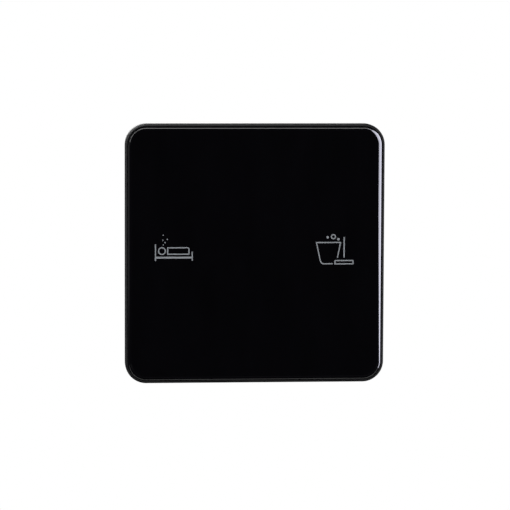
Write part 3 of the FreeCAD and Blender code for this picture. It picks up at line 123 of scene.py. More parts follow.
class MouldingSizes(bpy.types.PropertyGroup):
    """Edges and colours of the moulded and stamped pieces."""

    edge: length_prop("Edge", "Bevel on the moulded edges", 0.12 * MM)
    small_edge: length_prop("Small edge", "Bevel on the small moulded pieces", 0.096 * MM)
    strip_edge: length_prop("Strip edge", "Bevel on the stamped pieces", 0.05 * MM)
    frame_colour: colour_prop(
        "Frame", "Colour of the frame round the glass", (0.0075, 0.0075, 0.0085)
    )
    base_colour: colour_prop("Base", "Colour of the plate and housing", (0.045, 0.045, 0.050))
    cover_colour: colour_prop("Cover", "Colour of the rear cover", (0.032, 0.032, 0.036))


class ScrewSizes(bpy.types.PropertyGroup):
    """The small screws of the cover and the plate."""

    thread_pitch: length_prop("Thread pitch", "Advance of the thread in one turn", 0.7 * MM)
    recess_width: length_prop("Recess width", "Width of one arm of the cross recess", 0.55 * MM)
    steps: IntProperty(
        name="Steps", description="Points round a screw", default=40, min=12, max=96
    )


class SpringSizes(bpy.types.PropertyGroup):
    """The two springs that carry the touch sense."""

    radius: length_prop("Radius", "Radius of the coil at the middle of its wire", 3.4 * MM)
    wire: length_prop("Wire", "Diameter of the spring wire", 0.5 * MM)
    turns: FloatProperty(
        name="Turns", description="Turns of each spring", default=2.0, min=1.0, max=6.0
    )


class StudioSizes(bpy.types.PropertyGroup):
    """Camera, lamps and floor."""

    distance: length_prop("Distance", "Camera to the panel", 0.963)
    azimuth: angle_prop("Azimuth", "Camera to the side of the panel's axis", -4.82)
    elevation: angle_prop("Elevation", "Camera above the panel's axis", 5.38)
    roll: angle_prop("Roll", "Turn of the camera about its own axis", 0.21)
    lens: FloatProperty(
        name="Lens", description="Focal length in millimetres", default=205.0, min=20.0
    )
    floor_depth: length_prop("Floor", "Height of the floor", -0.16)
    side_lamp: level_prop("Side lamp", "Power of the tall lamp at the right", 7.0, unit="POWER")
    front_lamp: level_prop(
        "Front lamp", "Power of the soft lamp at the upper left", 21.0, unit="POWER"
    )
    rear_lamp: level_prop(
        "Rear lamp", "Power of the soft lamp behind the wall base", 22.0, unit="POWER"
    )
    softbox: level_prop("Softbox", "Brightness of the softbox mirrored in the glass edge", 11.0)
    top_strip: level_prop("Top strip", "Brightness of the strips mirrored in the top edge", 5.0)
    floor_strip: level_prop(
        "Floor strip", "Brightness of the strip mirrored in the lower edge", 1.1
    )
    ambient: level_prop("Ambient", "Level of the light from all round", 0.24, max=2.0)


# Plain helpers

def configured(thing, **settings):
    """Give a thing its plain settings."""
    for name, value in settings.items():
        setattr(thing, name, value)
    return thing


def add_object(name, data):
    """Put a mesh, a lamp or a camera into the scene as an object at the origin."""
    made = bpy.data.objects.new(name, data)
    bpy.context.scene.collection.objects.link(made)
    return made


def mesh_from(name, points, faces=(), edges=()):
    """A new object from plain points, faces and edges."""
    mesh = bpy.data.meshes.new(name)
    mesh.from_pydata(points, edges, faces)
    mesh.update()
    return add_object(name, mesh)


def evaluated_mesh(name, piece):
    """The plain mesh that a piece's modifiers make."""
    graph = bpy.context.evaluated_depsgraph_get()
    graph.update()
    mesh = bpy.data.meshes.new_from_object(piece.evaluated_get(graph))
    mesh.name = name
    return mesh


def shade_by_angle(mesh, degrees):
    """Smooth shading with sharp edges above an angle."""
    mesh.shade_smooth()
    mesh.set_sharp_from_angle(angle=math.radians(degrees))


def paint(piece, material):
    """Give a whole piece one material."""
    piece.data.materials.clear()
    piece.data.materials.append(material)


def dress(piece, *nodes):
    """Stand for the named nodes: take their finish and ride on their body."""
    slot = SLOTS[nodes[0]]
    paint(piece, FINISHES[slot])
    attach(piece, BODIES[nodes[0]])
    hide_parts(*nodes)


def rounded_path(box, radii, steps=6):
    """A rectangle whose corners (upper right first, anticlockwise) have their own radii."""
    left, right, bottom, top = box
    corners = ((right, top, 0), (left, top, 90), (left, bottom, 180), (right, bottom, 270))
    path = []
    for (across, up, start), radius in zip(corners, radii):
        across -= math.copysign(radius, across - (left + right) / 2)
        up -= math.copysign(radius, up - (bottom + top) / 2)
        for step in range(steps + 1 if radius else 1):
            angle = math.radians(start + 90 * step / steps)
            path.append((across + radius * math.cos(angle), up + radius * math.sin(angle)))
    return path


def skin_rings(name, rings, hollow):
    """A closed skin over rings from back to front, filled in the middle or an open frame."""
    count = len(rings[0])
    points = [point for ring in rings for point in ring]
    faces = []
    for level in range(len(rings) if hollow else len(rings) - 1):
        back = level * count
        front = (back + count) % len(points)
        for index in range(count):
            after = (index + 1) % count
            faces.append((back + index, back + after, front + after, front + index))
    if not hollow:
        faces.append(tuple(reversed(range(count))))
        faces.append(tuple(range(len(points) - count, len(points))))
    return mesh_from(name, points, faces)


# Node helpers

class Nodes:
    """Adds nodes to one tree and links them."""

    def __init__(self, tree):
        self.tree = tree

    def put(self, value, socket):
        """Link an output to a socket, or set the socket to a constant."""
        if isinstance(value, bpy.types.NodeSocket):
            self.tree.links.new(value, socket)
        elif socket.type == "RGBA":
            socket.default_value = (*value, 1.0)
        else:
            socket.default_value = value

    def fill(self, node, **inputs):
        """Set or link a node's inputs by name, with _ for a space."""
        for name, value in inputs.items():
            wanted = name.replace("_", " ")
            self.put(value, next(
                item for item in node.inputs if item.name.lower() == wanted and item.enabled
            ))
        return node

    def add(self, kind, settings=None, **inputs):
        """A new node with its plain settings and its inputs."""
        return self.fill(configured(self.tree.nodes.new(kind), **(settings or {})), **inputs)

    def out(self, kind, settings=None, **inputs):
        """The first output of a new node."""
        made = self.add(kind, settings, **inputs)
        return next(item for item in made.outputs if item.enabled)

    def maths(self, operation, first, second=0.0):
        """One sum on two values or sockets."""
        made = self.add("ShaderNodeMath", {"operation": operation})
        self.put(first, made.inputs[0])
        self.put(second, made.inputs[1])
        return made.outputs["Value"]

    def times(self, first, second):
        """The product of two values or sockets."""
        return self.maths("MULTIPLY", first, second)

    def remap(self, source, low, high, from_low=0.3, from_high=0.7, easing="LINEAR"):
        """A value brought from one range into another."""
        return self.out(
            "ShaderNodeMapRange", {"interpolation_type": easing}, value=source,
            from_min=from_low, from_max=from_high, to_min=low, to_max=high,
        )

    def mix(self, factor, first, second, kind="RGBA"):
        """A colour, or with FLOAT a value, between two others."""
        return self.out("ShaderNodeMix", {"data_type": kind}, factor=factor, a=first, b=second)


class Finish(Nodes):
    """A material under construction, read in the piece's own coordinates."""

    def __init__(self, name, **constants):
        self.material = bpy.data.materials.new(name)
        self.material.use_nodes = True
        super().__init__(self.material.node_tree)
        self.shader = self.fill(self.tree.nodes["Principled BSDF"], **constants)
        self.place = self.add("ShaderNodeTexCoord").outputs["Object"]

    def axis(self, letter):
        """One of the piece's own coordinates, in metres."""
        return self.add("ShaderNodeSeparateXYZ", vector=self.place).outputs[letter]

    def stretched(self, factors):
        """The piece's coordinates stretched along its axes."""
        return self.out("ShaderNodeMapping", vector=self.place, scale=factors)

    def noise(self, grain, detail=3.0, rough=0.6, place=None):
        """Noise whose features are about the given size in metres."""
        return self.out(
            "ShaderNodeTexNoise", vector=place or self.place, scale=1.0 / grain, detail=detail,
            roughness=rough,
        )

    def cells(self, size, place=None):
        """Distance to the middles of cells of about the given size in metres."""
        return self.out("ShaderNodeTexVoronoi", vector=place or self.place, scale=1.0 / size)

    def mottled(self, source, first, second):
        """Two colours that follow a noise."""
        return self.mix(self.remap(source, 0.0, 1.0), first, second)

    def shades(self, source, colour, dark, light):
        """Two shades of a colour that follow a noise."""
        return self.mottled(source, shifted(colour, dark), shifted(colour, light))

    def surface(self, colour, grain, rough, height, depth, **inputs):
        """End the finish: a roughness that follows a grain, and bumps of a depth in metres."""
        bump = self.out("ShaderNodeBump", distance=depth, height=height)
        roughness = self.remap(grain, *rough)
        self.fill(self.shader, base_color=colour, roughness=roughness, normal=bump, **inputs)
        return self.material


def shifted(colour, factor):
    """A colour made darker or lighter by a factor."""
    return tuple(min(1.0, part * factor) for part in colour)


# Finishes

def moulded_plastic(name, colour, grain, depth, rough):
    """Moulded plastic: spark texture over a soft mottle, duller where the texture is high."""
    finish = Finish(name, ior=1.5)
    mottle = finish.noise(1.4 * MM, rough=0.5)
    spark = finish.noise(grain, detail=5.0, rough=0.7)
    pits = finish.cells(grain * 2.4)
    shades = finish.shades(mottle, colour, 0.965, 1.035)
    height = finish.maths("ADD", spark, finish.times(pits, 0.5))
    return finish.surface(shades, spark, (rough - 0.1, rough + 0.12), height, depth)


def gloss_plastic(name, colour, rough):
    """Smooth glossy plastic with a slight waviness."""
    finish = Finish(name, ior=1.5)
    wave = finish.noise(2.5 * MM, detail=2.0)
    fine = finish.noise(0.3 * MM)
    shades = finish.shades(wave, colour, 0.92, 1.08)
    return finish.surface(shades, fine, (rough - 0.04, rough + 0.08), wave, 0.01 * MM)


def plated_metal(name, colour, rough, stretch):
    """Plated or rolled metal with fine scratches and slight tarnish."""
    finish = Finish(name, metallic=1.0)
    lines = finish.noise(0.12 * MM, detail=6.0, place=finish.stretched(stretch))
    cloud = finish.noise(1.8 * MM)
    shades = finish.shades(cloud, colour, 0.82, 1.06)
    return finish.surface(shades, lines, (rough - 0.08, rough + 0.14), lines, 0.004 * MM)


def black_glass(tint):
    """Polished glass over a black print, with a trace of wiping marks."""
    finish = Finish("black_glass", ior=1.52)
    smear = finish.noise(9 * MM, detail=5.0, place=finish.stretched((1.0, 1.0, 0.35)))
    wave = finish.noise(30 * MM, detail=1.0)
    shades = finish.shades(smear, tint, 0.85, 1.2)
    return finish.surface(shades, smear, (0.03, 0.075), wave, 0.02 * MM)


def sign_ink(ink):
    """Grey print, dull because its gloss belongs to the glass."""
    finish = Finish("sign_ink", ior=1.3)
    speck = finish.noise(0.12 * MM)
    shades = finish.shades(speck, ink, 0.93, 1.06)
    return finish.surface(shades, speck, (0.6, 0.75), speck, 0.001 * MM)


def circuit_board():
    """Solder mask over runs of tracks and a hatched pour between them, with tinned vias whose
    holes are painted shade.
    """
    # The last colour is painted shade for the holes of the vias
    mask, tin, hole_shade = (0.010, 0.072, 0.032), (0.55, 0.55, 0.52), (0.01, 0.01, 0.01)
    tracks, hatch = (0.75 * MM, 0.4), (1.3 * MM, 0.22)
    finish = Finish("circuit_board", ior=1.5)
    across, up = finish.axis("X"), finish.axis("Z")
    plane = finish.stretched((1.0, 0.0, 1.0))

    def lines(value, pitch, share, soft=0.07):
        """Straight lines of a share of their pitch, with soft sides."""
        phase = finish.maths("FRACT", finish.times(value, 1.0 / pitch))
        ridge = finish.maths("ABSOLUTE", finish.maths("SUBTRACT", phase, 0.5))
        return finish.remap(ridge, 1.0, 0.0, share / 2, share / 2 + soft)

    blocks = finish.add(
        "ShaderNodeTexVoronoi", {"distance": "CHEBYCHEV"}, vector=plane, scale=1.0 / (9.0 * MM),
        randomness=0.85,
    )
    tone = finish.add("ShaderNodeSeparateColor", color=blocks.outputs["Color"]).outputs
    upright = finish.maths("GREATER_THAN", tone["Red"], 0.5)
    tracked = finish.maths("GREATER_THAN", tone["Green"], 0.45)
    runs = finish.mix(upright, lines(up, *tracks), lines(across, *tracks), "FLOAT")
    rising = lines(finish.maths("ADD", across, up), *hatch)
    falling = lines(finish.maths("SUBTRACT", across, up), *hatch)
    pour = finish.maths("MAXIMUM", rising, falling)
    pour = finish.times(pour, finish.maths("SUBTRACT", 1.0, tracked))
    copper = finish.maths("MAXIMUM", finish.times(runs, tracked), pour)
    dots = finish.cells(3.6 * MM, place=plane)
    via = finish.remap(dots, 1.0, 0.0, 0.085, 0.095)
    # The middle of each via is painted near black as the shade inside its hole
    hole_shade_mask = finish.remap(dots, 1.0, 0.0, 0.038, 0.045)
    weave = finish.noise(0.35 * MM)
    coated = finish.mix(copper, finish.shades(weave, mask, 0.85, 1.1), shifted(mask, 1.75))
    # Vias get their tin ring and their painted hole shade
    board_with_hole_shade = finish.mix(hole_shade_mask, finish.mix(via, coated, tin), hole_shade)
    metal = finish.times(finish.maths("SUBTRACT", via, hole_shade_mask), 0.9)
    return finish.surface(board_with_hole_shade, weave, (0.26, 0.42), copper, 0.018 * MM, metallic=metal)


def ferrite_and_tape():
    """A sintered core whose wound bobbin, wrapped in tape, stands out at both ends."""
    low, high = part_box("power_transformer")
    bobbin_end, skin = 1.1 * MM, 0.02 * MM
    middle, half = (low.z + high.z) / 2, (high.z - low.z) / 2
    finish = Finish("ferrite_and_tape", ior=1.5)
    offset = finish.maths("ABSOLUTE", finish.maths("SUBTRACT", finish.axis("Z"), middle))
    tape = finish.maths("GREATER_THAN", offset, half - bobbin_end + skin)
    pores = finish.noise(0.25 * MM, detail=6.0, rough=0.75)
    wrap = finish.add(
        "ShaderNodeTexWave", {"bands_direction": "Y"}, vector=finish.place, scale=40.0
    ).outputs["Fac"]
    core = finish.mottled(pores, (0.035, 0.035, 0.037), (0.075, 0.075, 0.078))
    cloth = finish.mix(wrap, (0.62, 0.40, 0.03), (0.75, 0.52, 0.07))
    return finish.surface(
        finish.mix(tape, core, cloth), pores, (0.42, 0.7), pores, 0.03 * MM
    )


def capacitor_sleeve():
    """A shrunk sleeve with a paler stripe, and a bare can on top."""
    can_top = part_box("filter_capacitors")[1].y - 0.03 * MM
    stripe_start = -4.85 * MM
    finish = Finish("capacitor_sleeve", ior=1.5)
    bare = finish.maths("GREATER_THAN", finish.axis("Y"), can_top)
    stripe = finish.maths("GREATER_THAN", finish.axis("Z"), stripe_start)
    fine = finish.noise(0.3 * MM)
    sleeve = finish.mix(stripe, (0.012, 0.014, 0.03), (0.32, 0.34, 0.36))
    can = finish.mix(bare, sleeve, (0.68, 0.68, 0.69))
    return finish.surface(can, fine, (0.26, 0.42), fine, 0.008 * MM, metallic=bare)


def milky_film():
    """A diffusing film that lets some light through."""
    finish = Finish("milky_film", ior=1.45, subsurface_weight=0.5, subsurface_scale=0.3 * MM)
    fine = finish.noise(0.15 * MM)
    milk = finish.mottled(fine, (0.74, 0.75, 0.78), (0.84, 0.85, 0.87))
    return finish.surface(milk, fine, (0.5, 0.68), fine, 0.01 * MM)


def lamp_body():
    """A white lamp body with its pale yellow window in front."""
    window_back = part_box("indicator_leds")[0].y + 0.02 * MM
    finish = Finish("lamp_body", ior=1.5)
    window = finish.maths("LESS_THAN", finish.axis("Y"), window_back)
    fine = finish.noise(0.1 * MM, detail=2.0)
    white = finish.mottled(fine, (0.72, 0.72, 0.70), (0.80, 0.80, 0.78))
    body = finish.mix(window, white, (0.78, 0.66, 0.16))
    return finish.surface(body, fine, (0.25, 0.5), fine, 0.006 * MM)


def chip_finish():
    """Dark moulded chips with tinned leads beyond their sides."""
    lead_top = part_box("touch_board")[1].y + 0.205 * MM
    finish = Finish("chip_finish", ior=1.5)
    lead = finish.maths("LESS_THAN", finish.axis("Y"), lead_top)
    fine = finish.noise(0.12 * MM, detail=4.0)
    dark = finish.mottled(fine, (0.018, 0.018, 0.019), (0.032, 0.032, 0.034))
    chip = finish.mix(lead, dark, (0.60, 0.60, 0.58))
    return finish.surface(chip, fine, (0.35, 0.6), fine, 0.01 * MM, metallic=lead)


def all_finishes(scene):
    """One material for each of the record's slots."""
    mouldings = scene.panel_mouldings
    base = mouldings.base_colour
    made = {
        "black_glass": black_glass(scene.panel_glass.tint),
        "milky_film": milky_film(),
        "circuit_board": circuit_board(),
        "lamp_white": lamp_body(),
        "chip_black": chip_finish(),
        "ferrite": ferrite_and_tape(),
        "capacitor_sleeve": capacitor_sleeve(),
        "relay_case": gloss_plastic("relay_case", (0.02, 0.075, 0.26), 0.26),
        "varistor_coat": gloss_plastic("varistor_coat", (0.03, 0.09, 0.33), 0.3),
    }
    # Colour, grain and depth of the texture in millimetres, roughness
    for name, colour, grain, depth, rough in (
        ("frame_plastic", mouldings.frame_colour, 0.2, 0.006, 0.46),
        ("bonding_tape", (0.03, 0.03, 0.03), 0.3, 0.02, 0.75),
        ("header_plastic", (0.018, 0.018, 0.019), 0.12, 0.006, 0.5),
        ("cover_plastic", mouldings.cover_colour, 0.28, 0.025, 0.55),
        ("plate_plastic", base, 0.3, 0.03, 0.55),
        ("housing_plastic", shifted(base, 1.2), 0.35, 0.035, 0.6),
        ("fuse_case", (0.05, 0.035, 0.02), 0.2, 0.012, 0.45),
        ("terminal_plastic", (0.27, 0.28, 0.28), 0.25, 0.02, 0.5),
    ):
        made[name] = moulded_plastic(name, colour, grain * MM, depth * MM, rough)
    # Colour, roughness, how much closer the scratches are along each axis
    for name, colour, rough, stretch in (
        ("spring_steel", (0.62, 0.61, 0.60), 0.27, (1, 14, 1)),
        ("screw_steel", (0.66, 0.65, 0.62), 0.3, (1, 1, 1)),
        ("contact_brass", (0.72, 0.52, 0.22), 0.3, (1, 8, 1)),
        ("clamp_steel", (0.60, 0.59, 0.55), 0.33, (1, 1, 10)),
    ):
        made[name] = plated_metal(name, colour, rough, stretch)
    return made


# Geometry trees

class Tree(Nodes):
    """A geometry tree under construction, with named inputs."""

    def __init__(self, name):
        super().__init__(bpy.data.node_groups.new(name, "GeometryNodeTree"))
        for way in ("INPUT", "OUTPUT"):
            self.tree.interface.new_socket(
                "Geometry", in_out=way, socket_type="NodeSocketGeometry"
            )
        self.inputs = self.tree.nodes.new("NodeGroupInput")
        self.output = self.tree.nodes.new("NodeGroupOutput")

    def size(self, name, kind="NodeSocketFloat"):
        """A named input of the tree."""
        self.tree.interface.new_socket(name, in_out="INPUT", socket_type=kind)
        return self.inputs.outputs[name]

    def sizes(self, *names):
        """Several named inputs of the tree."""
        return [self.size(name) for name in names]

    def seed(self):
        """The geometry that the tree starts from."""
        return self.inputs.outputs["Geometry"]

    def vector(self, **parts):
        """A vector from numbers or sockets."""
        return self.out("ShaderNodeCombineXYZ", **parts)

    def moved(self, geometry, translation=(0, 0, 0), rotation=(0, 0, 0)):
        """Geometry shifted and turned."""
        return self.out(
            "GeometryNodeTransform", geometry=geometry, translation=translation,
            rotation=rotation,
        )

    def joined(self, *parts):
        """Several geometries as one."""
        join = self.add("GeometryNodeJoinGeometry")
        for part in reversed(parts):
            self.put(part, join.inputs["Geometry"])
        return join.outputs["Geometry"]

    def coil(self, rotations, radius, height, resolution):
        """A helix of constant radius along +Z."""
        return self.out(
            "GeometryNodeCurveSpiral", resolution=resolution, rotations=rotations,
            start_radius=radius, end_radius=radius, height=height,
        )

    def swept(self, curve, radius, resolution):
        """A closed round tube along a curve."""
        section = self.out(
            "GeometryNodeCurvePrimitiveCircle", resolution=resolution, radius=radius
        )
        return self.out(
            "GeometryNodeCurveToMesh", curve=curve, profile_curve=section, fill_caps=True
        )

    def placed(self, piece, rotation):
        """A piece at each point of the seed."""
        return self.out(
            "GeometryNodeInstanceOnPoints", points=self.seed(), instance=piece, rotation=rotation
        )

    def finish(self, geometry):
        """Realize the instances, give them their material and end the tree."""
        material = self.size("Material", "NodeSocketMaterial")
        real = self.out("GeometryNodeRealizeInstances", geometry=geometry)
        painted = self.out("GeometryNodeSetMaterial", geometry=real, material=material)
        self.put(painted, self.output.inputs["Geometry"])
        return self.tree


def grown(name, seed, group, material, values):
    """Run a geometry tree on a seed mesh and keep the result as a plain mesh."""
    values["Material"] = material
    modifier = seed.modifiers.new("growth", "NODES")
    modifier.node_group = group
    for item in group.interface.items_tree:
        if item.item_type == "SOCKET" and item.in_out == "INPUT" and item.name in values:
            modifier[item.identifier] = values[item.name]
    seed.update_tag()
    mesh = evaluated_mesh(name, seed)
    seed.modifiers.remove(modifier)
    bpy.data.meshes.remove(seed.data)
    if not mesh.polygons:
        raise RuntimeError(f"{name} grew no faces")
    return add_object(name, mesh)


# Cover glass

def edge_profile(settings):
    """Inset and depth of the ground edge, from the side of the glass to its face."""
    arcs = (
        (settings.edge_break, 0.0, settings.edge_start, 4),
        (settings.edge_radius, settings.edge_start, settings.edge_end, 14),
        (settings.edge_break, settings.edge_end, QUARTER, 4),
    )
    walk = [(0.0, 0.0)]
    for radius, start, end, steps in arcs:
        across, deep = walk[-1]
        for step in range(1, steps + 1):
            slope = start + (end - start) * step / steps
            walk.append((
                across + radius * (math.sin(slope) - math.sin(start)),
                deep + radius * (math.cos(start) - math.cos(slope)),
            ))
    width = walk[-1][0]
    return [(width - across, deep) for across, deep in reversed(walk)]


def glass_sections(settings, back, front):
    """Insets and depths round the polished face and round its ground edge, back to front."""
    bevel, seam_margin = settings.back_bevel, 0.05 * MM
    profile = edge_profile(settings)
    seam = profile[-1][0] + seam_margin
    face = [(seam, back), (seam, front)]
    edge = [(seam, back), (3 * bevel, back), (bevel, back), (0.0, back - bevel)]
    edge += [(inset, front + deep) for inset, deep in profile]
    edge.append((seam, front))
    return (("glass_sheet", face, False), ("glass_edge", edge, True))


class TOUCHPANEL_OT_glass(bpy.types.Operator):
    """Make the black cover glass as its flat face and its ground edge"""

    bl_idname = "touchpanel.glass"
    bl_label = "Cover glass"

    def execute(self, context):
        settings = context.scene.panel_glass
        front = GLASS_LOW.y + context.scene.panel_signs.film
        for name, places, hollow in glass_sections(settings, GLASS_HIGH.y, front):
            rings = []
            for inset, depth in places:
                half, corner = GLASS_HIGH.x - inset, settings.corner - inset
                path = rounded_path((-half, half, -half, half), (corner,) * 4, steps=20)
                rings.append([(across, depth, up) for across, up in path])
            glass = skin_rings(name, rings, hollow)
            shade_by_angle(glass.data, degrees=35)
            dress(glass, "cover_glass")
        return {"FINISHED"}


# The two signs, in millimetres on the glass: across from the middle, and up

def circle_loop(across, up, radius, steps=36):
    """A round outline."""
    loop = []
    for step in range(steps):
        angle = 2 * math.pi * step / steps
        loop.append((across + radius * math.cos(angle), up + radius * math.sin(angle)))
    return loop


def offset_path(path, distance):
    """An open path moved sideways, with mitred corners."""
    ways = [(Vector(after) - Vector(here)).normalized() for here, after in zip(path, path[1:])]
    sides = [Vector((-way.y, way.x)) for way in ways]
    moved = []
    for index, point in enumerate(path):
        near = sides[max(index - 1, 0):index + 1]
        side = sum(near, Vector((0.0, 0.0))).normalized()
        moved.append(tuple(Vector(point) + side * (distance / side.dot(near[0]))))
    return moved


def line_loop(path, width):
    """The outline of an open line of a given width."""
    return offset_path(path, width / 2) + offset_path(path, -width / 2)[::-1]


def box_loops(box, line, radii, inner_radii):
    """A drawn rectangle as its outer and inner outline."""
    left, right, bottom, top = box
    inner = (left + line, right - line, bottom + line, top - line)
    return [rounded_path(box, radii), rounded_path(inner, inner_radii)]


def bent_line(start, bend, end, steps=6):
    """Points along a soft bend between two points."""
    path = []
    for step in range(steps + 1):
        share = step / steps
        path.append(tuple(
            (1 - share) ** 2 * a + 2 * share * (1 - share) * b + share ** 2 * c
            for a, b, c in zip(start, bend, end)
        ))
    return path


def bed_sign(line):
    """A sleeper in a bed with five dots above: please do not disturb."""
    post = line / 2
    left, right = -33.02, -20.89
    foot, mattress_low, mattress_high = -2.17, -1.4, -0.79
    head_top, foot_top = 3.32, 0.81
    bedstead = [
        (left - post, foot), (left + post, foot), (left + post, mattress_low),
        (right - post, mattress_low), (right - post, foot), (right + post, foot),
        (right + post, foot_top), (right - post, foot_top), (right - post, mattress_high),
        (left + post, mattress_high), (left + post, head_top), (left - post, head_top),
    ]
    blanket = (-29.16, -21.79, -0.16, 2.34)
    head, head_radius = (-30.89, 1.08), 1.3
    dots = ((-30.43, 6.34), (-29.11, 4.95), (-30.59, 4.66), (-29.87, 3.89), (-30.43, 3.15))
    return [
        bedstead, *box_loops(blanket, line, (0.8, 0.0, 0.0, 0.0), (0.4, 0.0, 0.0, 0.0)),
        circle_loop(*head, head_radius), circle_loop(*head, head_radius - line),
        *(circle_loop(*dot, 0.2, steps=20) for dot in dots),
    ]


def bucket_sign(line):
    """A bucket of suds beside a scrubbing brush: please make up the room."""
    pail = [
        (27.28, -1.38), (28.28, 3.71), (20.29, 3.71),
        *bent_line((21.49, -1.99), (21.79, -3.36), (22.69, -3.36)), (25.73, -3.36),
    ]
    handle = [(29.49, -1.32), (29.49, 5.53)]
    brush = (26.26, 32.68, -3.59, -2.12)
    suds = ((23.98, 5.45, 0.41), (27.58, 4.8, 0.44), (25.91, 5.64, 0.87), (25.91, 5.64, 0.5))
    return [
        line_loop(pail, line), line_loop(handle, line * 1.1),
        *box_loops(brush, line, (0.4, 0.4, 0.0, 0.0), (0.0,) * 4),
        *(circle_loop(*bubble) for bubble in suds),
    ]


def loops_mesh(name, loops):
    """Closed outlines as edges on the ground plane, in metres."""
    points, edges = [], []
    for loop in loops:
        first, count = len(points), len(loop)
        points += [(across * MM, up * MM, 0.0) for across, up in loop]
        edges += [(first + index, first + (index + 1) % count) for index in range(count)]
    return mesh_from(name, points, edges=edges)


def printed_film_tree():
    """Fills closed outlines and gives them the thickness of a print."""
    tree = Tree("printed_film")
    film, front = tree.sizes("Film", "Front")
    curve = tree.out("GeometryNodeMeshToCurve", mesh=tree.seed())
    fill = tree.out("GeometryNodeFillCurve", curve=curve)
    raised = tree.out(
        "GeometryNodeExtrudeMesh", mesh=fill, offset_scale=film, individual=False
    )
    closed = tree.joined(raised, tree.out("GeometryNodeFlipFaces", mesh=fill))
    depth = tree.maths("ADD", front, film)
    return tree.finish(tree.moved(closed, tree.vector(y=depth), (QUARTER, 0.0, 0.0)))


def clean_normals(mesh):
    """Merge doubles and point the faces outwards."""
    work = bmesh.new()
    work.from_mesh(mesh)
    bmesh.ops.remove_doubles(work, verts=work.verts, dist=1e-7)
    bmesh.ops.recalc_face_normals(work, faces=work.faces)
    work.to_mesh(mesh)
    work.free()
    mesh.update()


class TOUCHPANEL_OT_signs(bpy.types.Operator):
    """Print the two signs on the glass"""

    bl_idname = "touchpanel.signs"
    bl_label = "Signs"

    def execute(self, context):
        settings = context.scene.panel_signs
        ink = sign_ink(settings.ink)
        tree = printed_film_tree()
        line = settings.line / MM
        for name, loops in (("bed_sign", bed_sign(line)), ("bucket_sign", bucket_sign(line))):
            outline = loops_mesh(name + "_outline", loops)
            sign = grown(name, outline, tree, ink, {"Film": settings.film, "Front": GLASS_LOW.y})
            clean_normals(sign.data)
            paint(sign, ink)
            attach(sign, "front_module")
        return {"FINISHED"}


# Moulded and stamped pieces, cut from their solids and given real edges

SHARP = 38


def refined(name, node, bevel):
    """A merged copy of a node with softened edges and even shading on flat faces."""
    work = bmesh.new()
    work.from_mesh(frame["nodes"][node].data)
    bmesh.ops.remove_doubles(work, verts=work.verts, dist=2e-6)
    bmesh.ops.dissolve_limit(
        work, angle_limit=math.radians(0.4), verts=work.verts, edges=work.edges,
        use_dissolve_boundaries=False,
    )
    rough = bpy.data.meshes.new(name + "_rough")
    work.to_mesh(rough)
    work.free()
    shade_by_angle(rough, SHARP)
    piece = add_object(name, rough)
    configured(
        piece.modifiers.new("edges", "BEVEL"), width=bevel, segments=2, limit_method="ANGLE",
        angle_limit=math.radians(SHARP), use_clamp_overlap=True, harden_normals=True,
    )
    configured(piece.modifiers.new("normals", "WEIGHTED_NORMAL"), keep_sharp=True, weight=100)
    soft = evaluated_mesh(name, piece)
    piece.modifiers.clear()
    piece.data = soft
    bpy.data.meshes.remove(rough)
    return piece


def refined_pieces(bevel, pieces):
    """Refined copies, for the names of pieces and their nodes."""
    for name, node in pieces.items():
        dress(refined(name, node, bevel), node)


class TOUCHPANEL_OT_mouldings(bpy.types.Operator):
    """Give the moulded pieces their softened edges"""

    bl_idname = "touchpanel.mouldings"
    bl_label = "Mouldings"

    def execute(self, context):
        settings = context.scene.panel_mouldings
        refined_pieces(settings.edge, {
            "frame_moulding": "front_frame",
            "cover_moulding": "rear_cover",
            "plate_moulding": "mounting_plate",
            "housing_moulding": "back_housing",
            "terminal_moulding": "terminal_block",
        })
        refined_pieces(settings.small_edge, {
            "relay_case_left": "relay_left",
            "relay_case_right": "relay_right",
            "header_moulding": "pin_header",
            "socket_moulding": "header_socket",
            "transformer_core": "power_transformer",
        })
        return {"FINISHED"}


class TOUCHPANEL_OT_stampings(bpy.types.Operator):
    """Give the stamped clips, busbars and cages their softened edges"""

    bl_idname = "touchpanel.stampings"
    bl_label = "Stampings"

    def execute(self, context):
        refined_pieces(context.scene.panel_mouldings.strip_edge, {
            "clip_strips": "retaining_clips",
            "busbar_row": "busbars",
            "contact_pins": "header_pins",
            **{f"clamp_cage_{way}": f"wire_clamp_{way}" for way in WAYS},
        })
        return {"FINISHED"}


# Screws

